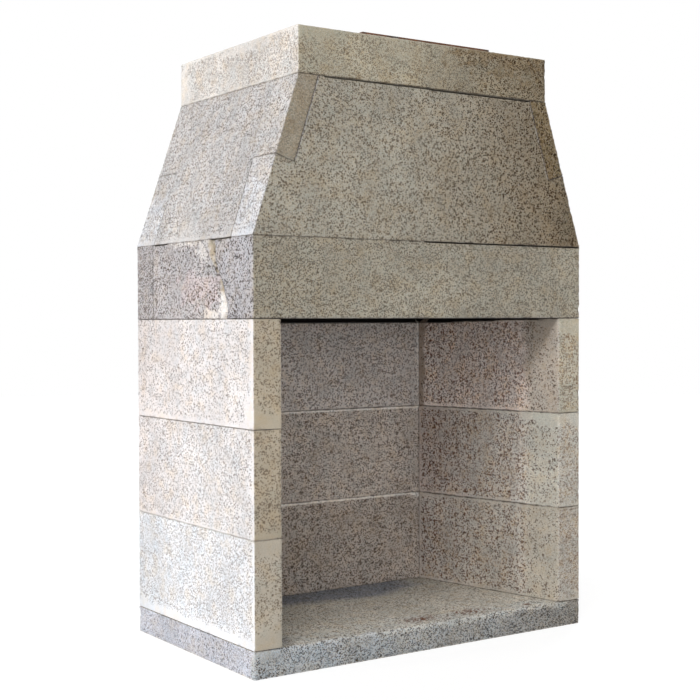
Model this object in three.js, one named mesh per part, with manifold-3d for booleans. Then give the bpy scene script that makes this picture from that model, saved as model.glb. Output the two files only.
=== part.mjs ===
// Open fireplace of precast pumice-concrete blocks: hearth slab, splayed side walls and back wall in three
// courses, a band course with the lintel, a smoke dome with finger-jointed corners, a flue collar, and a
// steel damper that hangs in the flue opening.
// Millimetres, +Z up, X to the right, the opening faces -Y. The origin is the middle of the underside.

import * as THREE from 'three';
import { mergeVertices } from 'three/addons/utils/BufferGeometryUtils.js';
import Module from 'manifold-3d';

const wasm = await Module();
wasm.setup();

// Whole object
const outerWidth = 1240;
const outerDepth = 740;
const arris = 1.5;
const jointGap = 1;
const slopedGap = 0.3;
const overrun = 40;

// Hearth slab and wall courses
const slabHeight = 80;
const courseHeight = 309;
const courseNames = ['lower', 'middle', 'upper'];
const wallInset = 1;
const wallFrontThickness = 92;
const hearthDepth = 596;
const hearthSplay = 120;
const backRebate = 60;

// Band course: lintel, rear beam and side blocks
const bandHeight = 233;
const lintelHeadThickness = 215;
const lintelFootThickness = 140;
const lintelNibThickness = 152;
const lintelNibHeight = 23;
const lintelWaistThickness = 170;
const lintelWaistHeight = 100;
const lintelHaunchHeight = 166;
const rearBeamThickness = 116;
const bandSideThickness = 130;

// Smoke dome
const domeHeight = 460;
const domeSideInset = 151;
const domeBackInset = 20;
const domeFrontThickness = 124;
const domeSideThickness = 66;
const domeTabShare = 0.5;

// Flue collar
const collarHeight = 138;
const collarHoleWidth = 400;
const collarHoleDepth = 400;

// Damper plate
const plateWidth = 480;
const plateFrontSetback = 10;
const plateBackSetback = 14;
const plateThickness = 6;
const flueWidth = 320;
const flueDepth = 320;

// Bearing brackets under the plate, with their bolts and nuts
const bracketLength = 90;
const bracketFootWidth = 32;
const bracketThickness = 5;
const bracketSetback = 1;
const bracketEarRadius = 15;
const bracketBoltSpacing = 60;
const bracketBoltRadius = 4;
const boltHeadRadius = 8;
const boltHeadHeight = 4;
const boltHeadSink = 0.5;
const boltSocketAcross = 5;
const boltSocketDepth = 2.5;
const nutAcross = 13;
const nutHeight = 6;
const boltEndLength = 2;
const boltHoleClearance = 0.5;
const nutGap = 0.25;

// Spindle and flap
const spindleRadius = 7;
const spindleDrop = 15;
const spindleEndLength = 8;
const runningGap = 0.25;
const flapClearance = 5;
const flapThickness = 4;

// Straps and rivets that hold the flap on the spindle
const strapOffset = 90;
const strapWidth = 22;
const strapThickness = 3;
const strapFootLength = 18;
const rivetRadius = 2.5;
const rivetHeadRadius = 5;
const rivetHeadHeight = 2;
const rivetHoleClearance = 0.25;

// Pull rod, its lug and its pin
const lugOffset = 125;
const lugThickness = 6;
const pivotDrop = 18;
const pivotEyeRadius = 9;
const pivotPinRadius = 4;
const pivotPinHeadRadius = 6.5;
const pivotPinHeadHeight = 2.5;
const forkCheekThickness = 4;
const forkSideGap = 0.5;
const forkSlotDepth = 16;
const forkBridgeHeight = 10;
const forkDepth = 12;
const rodRadius = 4;
const rodLength = 480;
const ringRadius = 28;
const ringWireRadius = 4;

// Facets of round forms
const fastenerSides = 16;
const turnedSides = 32;
const hexSides = 6;
const arcSteps = 12;
const ringSteps = 24;
const ringSides = 8;

// Levels and planes worked out from the sizes
const halfWidth = outerWidth / 2;
const halfDepth = outerDepth / 2;
const wallHeight = courseHeight * courseNames.length;
const bandFloor = slabHeight + wallHeight;
const domeFloor = bandFloor + bandHeight;
const collarFloor = domeFloor + domeHeight;
const collarTop = collarFloor + collarHeight;
const collarWidth = outerWidth - 2 * domeSideInset;
const collarDepth = outerDepth - domeBackInset;
const flueY = -domeBackInset / 2;
const plateUnderside = collarTop;
const plateTop = plateUnderside + plateThickness;
const spindleZ = plateUnderside - spindleDrop;
const flapWidth = flueWidth - 2 * flapClearance;
const flapDepth = flueDepth - 2 * flapClearance;
const flapUnderside = spindleZ + spindleRadius + runningGap;
const flapTop = flapUnderside + flapThickness;
const pivotY = flueY - lugOffset;
const pivotZ = spindleZ - pivotDrop;

// Finishes
function finish(color, roughness, metalness = 0) {
  return new THREE.MeshStandardMaterial({ color, roughness, metalness });
}

const wallStone = finish(0xd9d3c6, 0.93);
const backStone = finish(0x84796c, 0.94);
const slabStone = finish(0x9fa3a6, 0.92);
const bandStone = finish(0xa49c88, 0.94);
const domeStone = finish(0xa89f8c, 0.94);
const rustySteel = finish(0x6b4a38, 0.75, 0.6);
const darkSteel = finish(0x3f3a37, 0.6, 0.8);
const boltSteel = finish(0x77726c, 0.5, 0.9);

const fireplace = new THREE.Group();

function addPiece(name, geometry, material, parent = fireplace) {
  const mesh = new THREE.Mesh(geometry, material.clone());
  mesh.name = name;
  parent.add(mesh);
  return mesh;
}

// Solids for joining and cutting

function toSolid(geometry) {
  const bare = geometry.index ? geometry.toNonIndexed() : geometry.clone();
  bare.deleteAttribute('normal');
  bare.deleteAttribute('uv');
  const merged = mergeVertices(bare);
  return new wasm.Manifold(new wasm.Mesh({
    numProp: 3,
    vertProperties: new Float32Array(merged.attributes.position.array),
    triVerts: new Uint32Array(merged.index.array),
  }));
}

function toGeometry(solid) {
  const { vertProperties, triVerts } = solid.getMesh();
  const geometry = new THREE.BufferGeometry();
  geometry.setAttribute('position', new THREE.BufferAttribute(vertProperties, 3));
  geometry.setIndex(new THREE.BufferAttribute(triVerts, 1));
  return geometry.toNonIndexed();
}

// A box between two corners
function boxBetween(low, high) {
  const size = high.map((value, i) => value - low[i]);
  const middle = high.map((value, i) => (value + low[i]) / 2);
  return new THREE.BoxGeometry(...size).translate(...middle);
}

// A round or hexagonal bar along X or Z, about a line through the two other coordinates
function barAlongX(radius, from, to, [y, z], sides) {
  return new THREE.CylinderGeometry(radius, radius, to - from, sides)
    .rotateZ(Math.PI / 2)
    .translate((from + to) / 2, y, z);
}

function barAlongZ(radius, from, to, [x, y], sides) {
  return new THREE.CylinderGeometry(radius, radius, to - from, sides)
    .rotateX(Math.PI / 2)
    .translate(x, y, (from + to) / 2);
}

// A solid turned about an upright line from its outline in (radius, height)
function turnedAlongZ(profile, [x, y], sides) {
  return new THREE.LatheGeometry(profile.map((point) => new THREE.Vector2(...point)), sides)
    .rotateX(Math.PI / 2)
    .translate(x, y, 0);
}

// Rivet or pin with a head at each end, turned about Z, that grips from one level to another
function rivet(radius, headRadius, headHeight, from, to) {
  const profile = [
    [0, from - headHeight],
    [headRadius, from - headHeight],
    [headRadius, from],
    [radius, from],
    [radius, to],
    [headRadius, to],
    [headRadius, to + headHeight],
    [0, to + headHeight],
  ];
  return turnedAlongZ(profile, [0, 0], fastenerSides);
}

// Outline with each outward corner cut by a flat twice as wide as the arris
function easeCorners(outline, cut) {
  const eased = [];
  outline.forEach((point, i) => {
    const before = outline[(i + outline.length - 1) % outline.length];
    const after = outline[(i + 1) % outline.length];
    const here = new THREE.Vector2(...point);
    const back = new THREE.Vector2(...before).sub(here).normalize();
    const on = new THREE.Vector2(...after).sub(here).normalize();
    const halfAngleSine = Math.sqrt((1 - back.dot(on)) / 2);
    const setback = cut / halfAngleSine;
    if (on.cross(back) > 0) {
      eased.push(here.clone().addScaledVector(back, setback), here.clone().addScaledVector(on, setback));
    } else {
      eased.push(here);
    }
  });
  return eased;
}

// Block cast from an outline in XY, with eased arrises all round, standing on Z = 0
function castBlock(outline, height, holes = []) {
  const shape = new THREE.Shape(easeCorners(outline, arris));
  for (const hole of holes) shape.holes.push(new THREE.Path(hole.map(([x, y]) => new THREE.Vector2(x, y))));
  const block = new THREE.ExtrudeGeometry(shape, {
    depth: height - 2 * arris,
    bevelEnabled: true,
    bevelThickness: arris,
    bevelSize: arris,
    bevelOffset: -arris,
    bevelSegments: 1,
  });
  return block.translate(0, 0, arris);
}

const rectangle = (left, front, right, back) => [[left, front], [right, front], [right, back], [left, back]];

// Turns a block whose outline was drawn as (depth, height) so that it runs along X
function layAlongX(geometry) {
  const turn = new THREE.Matrix4().makeBasis(
    new THREE.Vector3(0, 1, 0),
    new THREE.Vector3(0, 0, 1),
    new THREE.Vector3(1, 0, 0),
  );
  return geometry.applyMatrix4(turn);
}

// Hearth slab

addPiece(
  'hearth_slab',
  castBlock(rectangle(-halfWidth, -halfDepth, halfWidth, halfDepth), slabHeight),
  slabStone,
);

// Side walls and back wall

const wallOuter = halfWidth - wallInset;
const wallInnerFront = wallOuter - wallFrontThickness;
const wallInnerBack = wallInnerFront - hearthSplay;
const rebateSide = wallInnerBack + backRebate;
const shoulderY = -halfDepth + hearthDepth;

// side is 1 for the right wall and -1 for the left one
function sideWallOutline(side) {
  const right = [
    [wallInnerFront, -halfDepth],
    [wallOuter, -halfDepth],
    [wallOuter, halfDepth],
    [rebateSide, halfDepth],
    [rebateSide, shoulderY],
    [wallInnerBack, shoulderY],
  ];
  return side > 0 ? right : right.map(([x, y]) => [-x, y]).reverse();
}

const backHalf = rebateSide - jointGap;
const backOutline = rectangle(-backHalf, shoulderY + jointGap, backHalf, halfDepth);

courseNames.forEach((course, i) => {
  const level = slabHeight + i * courseHeight;
  for (const [sideName, side] of [['left', -1], ['right', 1]]) {
    const casting = castBlock(sideWallOutline(side), courseHeight);
    const block = addPiece(`${sideName}_wall_${course}`, casting, wallStone);
    block.position.z = level;
  }
  const back = addPiece(`back_wall_${course}`, castBlock(backOutline, courseHeight), backStone);
  back.position.z = level;
});

// Band course

const lintelBack = [
  [lintelNibThickness, 0],
  [lintelFootThickness, lintelNibHeight],
  [lintelWaistThickness, lintelWaistHeight],
  [lintelHeadThickness, lintelHaunchHeight],
  [lintelHeadThickness, bandHeight],
];

const lintel = addPiece(
  'lintel_beam',
  layAlongX(castBlock([[0, 0], ...lintelBack, [0, bandHeight]], outerWidth)),
  bandStone,
);
lintel.position.set(-halfWidth, -halfDepth, bandFloor);

const rearBeamFront = outerDepth - rearBeamThickness;
const rearBeam = addPiece(
  'rear_beam',
  layAlongX(castBlock(rectangle(rearBeamFront, 0, outerDepth, bandHeight), outerWidth)),
  bandStone,
);
rearBeam.position.set(-halfWidth, -halfDepth, bandFloor);

const bandSideOutline = [
  ...lintelBack.map(([depth, height]) => [depth + jointGap, height]).reverse(),
  [rearBeamFront - jointGap, 0],
  [rearBeamFront - jointGap, bandHeight],
];

for (const [sideName, left] of [['left', -halfWidth], ['right', halfWidth - bandSideThickness]]) {
  const block = addPiece(
    `${sideName}_band_block`,
    layAlongX(castBlock(bandSideOutline, bandSideThickness)),
    bandStone,
  );
  block.position.set(left, -halfDepth, bandFloor);
}

// Smoke dome: the outer form is a hull of two rectangles, cut into four panels

const slopeLength = Math.hypot(domeSideInset, domeHeight);
const slopeOut = domeHeight / slopeLength;
const slopeUp = domeSideInset / slopeLength;
const backLength = Math.hypot(domeBackInset, domeHeight);

// Prism with four upright corners that lean from a lower rectangle to an upper one
function leaningPrism(lowerRect, upperRect, floor, ceiling) {
  const corners = [
    ...lowerRect.map(([x, y]) => [x, y, floor]),
    ...upperRect.map(([x, y]) => [x, y, ceiling]),
  ];
  const faces = [
    [0, 3, 2], [0, 2, 1],
    [4, 5, 6], [4, 6, 7],
    [0, 1, 5], [0, 5, 4],
    [1, 2, 6], [1, 6, 5],
    [2, 3, 7], [2, 7, 6],
    [3, 0, 4], [3, 4, 7],
  ];
  const geometry = new THREE.BufferGeometry();
  const points = faces.flat().flatMap((corner) => corners[corner]);
  geometry.setAttribute('position', new THREE.Float32BufferAttribute(points, 3));
  return geometry;
}

const domeForm = toSolid(leaningPrism(
  rectangle(-halfWidth, -halfDepth, halfWidth, halfDepth),
  rectangle(-halfWidth + domeSideInset, -halfDepth, halfWidth - domeSideInset, halfDepth - domeBackInset),
  domeFloor,
  collarFloor,
));

// Board that reaches past the whole dome and ends at a plane. The plane passes through a point and faces
// along a direction; the board lies behind the plane, from one depth to another.
function boardBehind(point, facing, fromDepth, toDepth) {
  const reach = outerWidth + domeHeight;
  const board = new THREE.BoxGeometry(reach, reach, toDepth - fromDepth);
  board.translate(0, 0, -(fromDepth + toDepth) / 2);
  const turn = new THREE.Quaternion().setFromUnitVectors(new THREE.Vector3(0, 0, 1), facing);
  return toSolid(board.applyQuaternion(turn).translate(...point));
}

const frontFacing = new THREE.Vector3(0, -1, 0);
const backFacing = new THREE.Vector3(0, domeHeight / backLength, domeBackInset / backLength);
const frontPoint = [0, -halfDepth, domeFloor];
const backPoint = [0, halfDepth, domeFloor];

const domeSides = [['left', -1], ['right', 1]].map(([name, side]) => {
  const facing = new THREE.Vector3(side * slopeOut, 0, slopeUp);
  const foot = [side * halfWidth, 0, domeFloor];
  const tabHalfWidth = halfWidth - domeSideInset * domeTabShare;
  const tabPoint = [side * tabHalfWidth, 0, domeFloor + domeHeight * domeTabShare];
  const downSlope = new THREE.Vector3(side * slopeUp, 0, -slopeOut);
  return { name, facing, foot, tabPoint, downSlope };
});

const rootsBelow = ({ tabPoint, downSlope }, gap) => boardBehind(tabPoint, downSlope, gap, outerWidth);

// Side panels keep their full depth above the tab line, and stand between the front and back panels below it
for (const side of domeSides) {
  const slab = domeForm.intersect(boardBehind(side.foot, side.facing, 0, domeSideThickness));
  const upper = slab.intersect(rootsBelow(side, 0));
  const between = slab
    .subtract(boardBehind(frontPoint, frontFacing, -overrun, domeFrontThickness + slopedGap))
    .subtract(boardBehind(backPoint, backFacing, -overrun, domeFrontThickness + slopedGap));
  addPiece(`dome_${side.name}_panel`, toGeometry(between.add(upper)), domeStone);
}

// Front and back panels are full width below the tab line, and give way to the side panels above it
for (const [name, point, facing] of [['front', frontPoint, frontFacing], ['back', backPoint, backFacing]]) {
  let panel = domeForm.intersect(boardBehind(point, facing, 0, domeFrontThickness));
  for (const side of domeSides) {
    const sideTab = boardBehind(side.foot, side.facing, -overrun, domeSideThickness + slopedGap)
      .intersect(rootsBelow(side, -slopedGap));
    panel = panel.subtract(sideTab);
  }
  addPiece(`dome_${name}_panel`, toGeometry(panel), domeStone);
}

// Flue collar

const collarOutline = rectangle(-collarWidth / 2, -halfDepth, collarWidth / 2, -halfDepth + collarDepth);
const collarHole = rectangle(
  -collarHoleWidth / 2,
  flueY - collarHoleDepth / 2,
  collarHoleWidth / 2,
  flueY + collarHoleDepth / 2,
);
const collar = addPiece('flue_collar', castBlock(collarOutline, collarHeight, [collarHole]), domeStone);
collar.position.z = collarFloor;

// Damper plate with the flue opening

const bracketInner = flueWidth / 2 + bracketSetback;
const boltX = bracketInner + (bracketThickness + bracketFootWidth) / 2;
const boltPlaces = [];
for (const [sideName, side] of [['left', -1], ['right', 1]]) {
  for (const [endName, end] of [['front', -1], ['back', 1]]) {
    const place = [side * boltX, flueY + end * bracketBoltSpacing / 2];
    boltPlaces.push({ name: `${sideName}_${endName}`, side, place });
  }
}

const boltHole = (place, from, to) =>
  toSolid(barAlongZ(bracketBoltRadius + boltHoleClearance, from, to, place, fastenerSides));

const boltHeadTop = plateTop - boltHeadSink;
const boltHeadFloor = boltHeadTop - boltHeadHeight;
const countersink = (place) => toSolid(turnedAlongZ([
  [0, boltHeadFloor],
  [bracketBoltRadius + boltHoleClearance, boltHeadFloor],
  [boltHeadRadius + boltHoleClearance, boltHeadTop],
  [boltHeadRadius + boltHoleClearance, plateTop + overrun],
  [0, plateTop + overrun],
], place, fastenerSides));

let plate = toSolid(boxBetween(
  [-plateWidth / 2, -halfDepth + plateFrontSetback, plateUnderside],
  [plateWidth / 2, -halfDepth + collarDepth - plateBackSetback, plateTop],
));
plate = plate.subtract(toSolid(boxBetween(
  [-flueWidth / 2, flueY - flueDepth / 2, plateUnderside - overrun],
  [flueWidth / 2, flueY + flueDepth / 2, plateTop + overrun],
)));
for (const { place } of boltPlaces) {
  plate = plate.subtract(boltHole(place, plateUnderside - overrun, plateTop + overrun));
  plate = plate.subtract(countersink(place));
}
addPiece('damper_plate', toGeometry(plate), rustySteel);

// Bearing brackets: a foot bolted under the plate, and an ear with the bore for the spindle

const footUnderside = plateUnderside - bracketThickness;

for (const [sideName, side] of [['left', -1], ['right', 1]]) {
  const across = (from, to) => [side * from, side * to].sort((a, b) => a - b);
  const [footLeft, footRight] = across(bracketInner, bracketInner + bracketFootWidth);
  const [earLeft, earRight] = across(bracketInner, bracketInner + bracketThickness);
  const foot = boxBetween(
    [footLeft, flueY - bracketLength / 2, footUnderside],
    [footRight, flueY + bracketLength / 2, plateUnderside],
  );
  const ear = boxBetween(
    [earLeft, flueY - bracketEarRadius, spindleZ],
    [earRight, flueY + bracketEarRadius, plateUnderside],
  );
  const eye = barAlongX(bracketEarRadius, earLeft, earRight, [flueY, spindleZ], turnedSides);
  const bore = barAlongX(
    spindleRadius + runningGap,
    earLeft - overrun,
    earRight + overrun,
    [flueY, spindleZ],
    turnedSides,
  );
  let bracket = toSolid(foot).add(toSolid(ear)).add(toSolid(eye)).subtract(toSolid(bore));
  for (const bolt of boltPlaces.filter((entry) => entry.side === side)) {
    bracket = bracket.subtract(boltHole(bolt.place, footUnderside - overrun, plateUnderside + overrun));
  }
  addPiece(`${sideName}_bearing_bracket`, toGeometry(bracket), darkSteel);
}

// Countersunk bolts that leave the plate's top flat, and their nuts under the bracket feet

const socketRadius = boltSocketAcross / Math.sqrt(3);
const nutRadius = nutAcross / Math.sqrt(3);
const boltEnd = footUnderside - nutHeight - boltEndLength;

for (const { name, place } of boltPlaces) {
  const bolt = turnedAlongZ([
    [0, boltEnd],
    [bracketBoltRadius, boltEnd],
    [bracketBoltRadius, boltHeadFloor],
    [boltHeadRadius, boltHeadTop],
    [0, boltHeadTop],
  ], place, fastenerSides);
  const socket = barAlongZ(
    socketRadius,
    boltHeadTop - boltSocketDepth,
    boltHeadTop + overrun,
    place,
    hexSides,
  );
  addPiece(`bracket_bolt_${name}`, toGeometry(toSolid(bolt).subtract(toSolid(socket))), boltSteel);

  const body = barAlongZ(nutRadius, footUnderside - nutHeight, footUnderside, place, hexSides);
  const thread = barAlongZ(
    bracketBoltRadius + nutGap,
    footUnderside - nutHeight - overrun,
    footUnderside + overrun,
    place,
    fastenerSides,
  );
  addPiece(`bracket_nut_${name}`, toGeometry(toSolid(body).subtract(toSolid(thread))), boltSteel);
}

// Spindle, from ear to ear

const spindleEnd = bracketInner + bracketThickness + spindleEndLength;
addPiece(
  'damper_spindle',
  barAlongX(spindleRadius, -spindleEnd, spindleEnd, [flueY, spindleZ], turnedSides),
  darkSteel,
);

// Flap, its two straps and their rivets

const strapInner = spindleRadius + runningGap;
const strapOuter = strapInner + strapThickness;
const strapFootEnd = strapOuter + strapFootLength;
const rivetOffset = strapOuter + strapFootLength / 2;
const strapUnderside = flapUnderside - strapThickness;
const rivetPlaces = [];
for (const [sideName, side] of [['left', -1], ['right', 1]]) {
  for (const [endName, end] of [['front', -1], ['back', 1]]) {
    const place = [side * strapOffset, flueY + end * rivetOffset];
    rivetPlaces.push({ name: `${sideName}_${endName}`, side, place });
  }
}

const rivetHole = (place) => toSolid(barAlongZ(
  rivetRadius + rivetHoleClearance,
  strapUnderside - overrun,
  flapTop + overrun,
  place,
  fastenerSides,
));

let flap = toSolid(boxBetween(
  [-flapWidth / 2, flueY - flapDepth / 2, flapUnderside],
  [flapWidth / 2, flueY + flapDepth / 2, flapTop],
));
for (const { place } of rivetPlaces) flap = flap.subtract(rivetHole(place));
addPiece('damper_flap', toGeometry(flap), darkSteel);

// Strap section, drawn about the spindle: two feet under the flap and a round saddle below the spindle
function strapSection() {
  const top = flapUnderside - spindleZ;
  const footFloor = top - strapThickness;
  const section = new THREE.Shape();
  section.moveTo(-strapFootEnd, footFloor);
  section.lineTo(-strapOuter, footFloor);
  section.absarc(0, 0, strapOuter, Math.PI, 2 * Math.PI, false);
  section.lineTo(strapOuter, footFloor);
  section.lineTo(strapFootEnd, footFloor);
  section.lineTo(strapFootEnd, top);
  section.lineTo(strapInner, top);
  section.absarc(0, 0, strapInner, 2 * Math.PI, Math.PI, true);
  section.lineTo(-strapInner, top);
  section.lineTo(-strapFootEnd, top);
  return section;
}

const extrudeAlongX = (shape, depth) =>
  layAlongX(new THREE.ExtrudeGeometry(shape, { depth, bevelEnabled: false, curveSegments: arcSteps }));

for (const [sideName, side] of [['left', -1], ['right', 1]]) {
  let strap = toSolid(
    extrudeAlongX(strapSection(), strapWidth).translate(side * strapOffset - strapWidth / 2, flueY, spindleZ),
  );
  for (const entry of rivetPlaces.filter((candidate) => candidate.side === side)) {
    strap = strap.subtract(rivetHole(entry.place));
  }
  addPiece(`${sideName}_spindle_strap`, toGeometry(strap), darkSteel);
}

for (const { name, place } of rivetPlaces) {
  const piece = addPiece(
    `strap_rivet_${name}`,
    rivet(rivetRadius, rivetHeadRadius, rivetHeadHeight, strapUnderside, flapTop),
    boltSteel,
  );
  piece.position.set(...place, 0);
}

// Lug under the front of the flap

const lugShape = new THREE.Shape();
lugShape.moveTo(pivotEyeRadius, flapUnderside - pivotZ);
lugShape.lineTo(-pivotEyeRadius, flapUnderside - pivotZ);
lugShape.absarc(0, 0, pivotEyeRadius, Math.PI, 2 * Math.PI, false);
const lugBore = new THREE.Path();
lugBore.absarc(0, 0, pivotPinRadius + runningGap, 0, 2 * Math.PI, false);
lugShape.holes.push(lugBore);
const lug = addPiece('pull_lug', extrudeAlongX(lugShape, lugThickness), darkSteel);
lug.position.set(-lugThickness / 2, pivotY, pivotZ);

// Pull rod: a fork round the lug, a plain rod and a ring to pull it by

const forkInner = lugThickness / 2 + forkSideGap;
const forkOuter = forkInner + forkCheekThickness;
const forkFloor = pivotZ - forkSlotDepth - forkBridgeHeight;
const ringZ = pivotZ - rodLength;

const forkEye = barAlongX(pivotEyeRadius, -forkOuter, forkOuter, [pivotY, pivotZ], turnedSides);
const forkLegs = boxBetween(
  [-forkOuter, pivotY - forkDepth / 2, forkFloor],
  [forkOuter, pivotY + forkDepth / 2, pivotZ],
);
const forkSlot = boxBetween(
  [-forkInner, pivotY - overrun, pivotZ - forkSlotDepth],
  [forkInner, pivotY + overrun, pivotZ + overrun],
);
const forkBore = barAlongX(
  pivotPinRadius + runningGap,
  -forkOuter - overrun,
  forkOuter + overrun,
  [pivotY, pivotZ],
  turnedSides,
);
const rod = barAlongZ(
  rodRadius,
  ringZ + ringRadius,
  forkFloor + forkBridgeHeight / 2,
  [0, pivotY],
  fastenerSides,
);
const ring = new THREE.TorusGeometry(ringRadius, ringWireRadius, ringSides, ringSteps)
  .rotateX(Math.PI / 2)
  .translate(0, pivotY, ringZ);
const pullRod = toSolid(forkEye)
  .add(toSolid(forkLegs))
  .subtract(toSolid(forkSlot))
  .subtract(toSolid(forkBore))
  .add(toSolid(rod))
  .add(toSolid(ring));
addPiece('pull_rod', toGeometry(pullRod), darkSteel);

const pivotPin = addPiece(
  'pull_rod_pin',
  rivet(pivotPinRadius, pivotPinHeadRadius, pivotPinHeadHeight, -forkOuter, forkOuter).rotateY(Math.PI / 2),
  boltSteel,
);
pivotPin.position.set(0, pivotY, pivotZ);

export default fireplace;
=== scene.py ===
# Finish of an open fireplace laid from precast pumice-concrete blocks, with a steel damper in its flue.
# Metres, +Z up, X to the right, the opening faces -Y.

import math
from collections import namedtuple
from functools import partial

import bmesh
import bpy
import numpy as np
from bpy.props import FloatProperty, FloatVectorProperty, IntProperty, PointerProperty
from mathutils import Matrix, Vector
from mathutils.bvhtree import BVHTree


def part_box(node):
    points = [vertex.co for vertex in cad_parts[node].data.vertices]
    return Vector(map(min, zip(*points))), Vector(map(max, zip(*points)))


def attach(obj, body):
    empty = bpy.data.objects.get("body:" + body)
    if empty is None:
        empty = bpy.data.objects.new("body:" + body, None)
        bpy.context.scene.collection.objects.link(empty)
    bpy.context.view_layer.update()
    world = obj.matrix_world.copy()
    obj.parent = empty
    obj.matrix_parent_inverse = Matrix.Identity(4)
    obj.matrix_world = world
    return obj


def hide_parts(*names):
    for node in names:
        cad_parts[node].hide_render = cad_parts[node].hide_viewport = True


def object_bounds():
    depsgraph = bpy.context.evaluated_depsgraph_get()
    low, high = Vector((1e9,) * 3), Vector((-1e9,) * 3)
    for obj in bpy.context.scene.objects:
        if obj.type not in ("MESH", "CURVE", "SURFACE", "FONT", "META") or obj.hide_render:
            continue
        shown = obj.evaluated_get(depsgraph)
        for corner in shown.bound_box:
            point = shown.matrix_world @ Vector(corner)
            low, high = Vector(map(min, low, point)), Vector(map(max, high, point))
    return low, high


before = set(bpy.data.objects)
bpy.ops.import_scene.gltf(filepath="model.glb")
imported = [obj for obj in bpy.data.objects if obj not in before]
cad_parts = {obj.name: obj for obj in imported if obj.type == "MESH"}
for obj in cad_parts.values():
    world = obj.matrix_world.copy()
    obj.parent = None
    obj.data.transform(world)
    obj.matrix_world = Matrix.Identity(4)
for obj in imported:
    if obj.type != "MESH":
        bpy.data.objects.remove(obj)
cad_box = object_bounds()
cad_low, cad_high = np.array(cad_box[0]), np.array(cad_box[1])

bl_info = {
    "name": "Pumice Block Fireplace",
    "version": (1, 0, 0),
    "blender": (4, 5, 0),
    "location": "View3D > Sidebar > Fireplace",
    "description": "Builds the finished blocks and the damper of an open fireplace round its fixed frame",
    "category": "Add Mesh",
}

MM = 0.001


def length(name, description, default):
    return FloatProperty(name=name, description=description, default=default, unit="LENGTH", precision=4)


def share(name, description, default):
    return FloatProperty(name=name, description=description, default=default, subtype="FACTOR", min=0, max=1)


def level(name, description, default):
    return FloatProperty(name=name, description=description, default=default, min=0)


def turn(name, description, degrees):
    return FloatProperty(name=name, description=description, default=math.radians(degrees), unit="ROTATION")


def colour(name, description, default):
    return FloatVectorProperty(
        name=name, description=description, default=default, subtype="COLOR", min=0, max=1
    )


def heading(name, description, default):
    return FloatVectorProperty(name=name, description=description, default=default, subtype="DIRECTION")


class FIREPLACE_PG_skin(bpy.types.PropertyGroup):
    """The worn and pitted surface that every block shares"""

    grid: length("Grid", "Spacing of the mesh on a block", 0.0046)
    arris_pull: share("Arris pull", "Share of the grid within which a point is drawn onto an arris", 0.6)
    hole_depth: length("Hole depth", "Depth of the larger pits", 0.0022)
    rough_size: length("Roughness size", "Size of the lumps of the rough face", 0.010)
    rough_depth: length("Roughness depth", "Depth of the hollows between the lumps", 0.0008)
    wear: length("Arris wear", "How far the free arrises are worn back", 0.0010)
    wear_reach: length("Arris wear reach", "Width of the worn strip along an arris", 0.006)
    chip_size: length("Chip size", "Distance between chips along an arris", 0.030)
    chip_depth: length("Chip depth", "Depth of a chip", 0.0040)
    chip_reach: length("Chip reach", "Width of a chip across the arris", 0.009)
    joint_reach: length("Joint reach", "How near a neighbour lies where an arris belongs to a joint", 0.014)
    seed: IntProperty(name="Seed", description="Changes every random place at once", default=7)


class FIREPLACE_PG_stage(bpy.types.PropertyGroup):
    """Camera, lamps and floor"""

    eye: FloatVectorProperty(
        name="Eye",
        description="Place of the camera",
        default=(-2.4701, -3.5588, 1.0007),
        subtype="TRANSLATION",
    )
    yaw: turn("Yaw", "Camera's heading, from +Y towards +X", 34.3)
    pitch: turn("Pitch", "Camera's tilt above the horizon", -1.26)
    roll: turn("Roll", "Camera's turn about its own axis", -0.18)
    lens: FloatProperty(name="Lens", description="Focal length in millimetres on the sensor", default=68.4)
    sensor: FloatProperty(name="Sensor", description="Sensor width in millimetres", default=36.0)
    side_level: level("Side lamp", "Level of the wide lamp on the left", 0.44)
    side_heading: heading("Side heading", "Way the light of the left lamp travels", (1.0, -0.16, -0.22))
    side_softness: turn("Side softness", "Apparent width of the left lamp", 20)
    sun_level: level("Sun", "Level of the low sun on the left", 0.15)
    sun_heading: heading("Sun heading", "Way the sunlight travels", (1.0, 0.156, -0.24))
    sun_softness: turn("Sun softness", "Apparent width of the sun", 2.5)
    front_level: level("Front lamp", "Level of the high lamp in front", 0.58)
    front_heading: heading("Front heading", "Way the light of the front lamp travels", (0.80, 1.0, -2.13))
    front_softness: turn("Front softness", "Apparent width of the front lamp", 40)
    room_level: level("Room lamp", "Level of the wide lamp that looks into the opening", 0.30)
    room_heading: heading("Room heading", "Way the light of the room lamp travels", (0.55, 1.0, -0.05))
    room_softness: turn("Room softness", "Apparent width of the room lamp", 70)
    rear_level: level("Rear lamp", "Level of the lamp behind, on the right", 0.45)
    rear_heading: heading("Rear heading", "Way the light of the rear lamp travels", (-0.7, -0.62, -0.5))
    rear_softness: turn("Rear softness", "Apparent width of the rear lamp", 25)
    sky: level("Sky", "Level of the even light from all round", 0.26)
    sky_colour: colour("Sky colour", "Colour of the even light", (0.97, 0.98, 1.0))
    floor_radius: length("Floor radius", "Radius of the floor", 14.0)
    floor_colour: colour("Floor colour", "Colour of the floor", (0.58, 0.58, 0.58))
    floor_glow: level("Floor glow", "How much of the floor's white is its own", 0.74)
    floor_shade: share("Floor shade", "How strongly the object's shadow shows on the floor", 0.5)


COURSES = ("lower", "middle", "upper")
SIDES = ("left", "right")
BLOCK_NODES = (
    "hearth_slab",
    *(f"{wall}_wall_{course}" for wall in (*SIDES, "back") for course in COURSES),
    "lintel_beam",
    "rear_beam",
    *(f"{side}_band_block" for side in SIDES),
    *(f"dome_{side}_panel" for side in ("front", "back", *SIDES)),
    "flue_collar",
)

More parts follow.
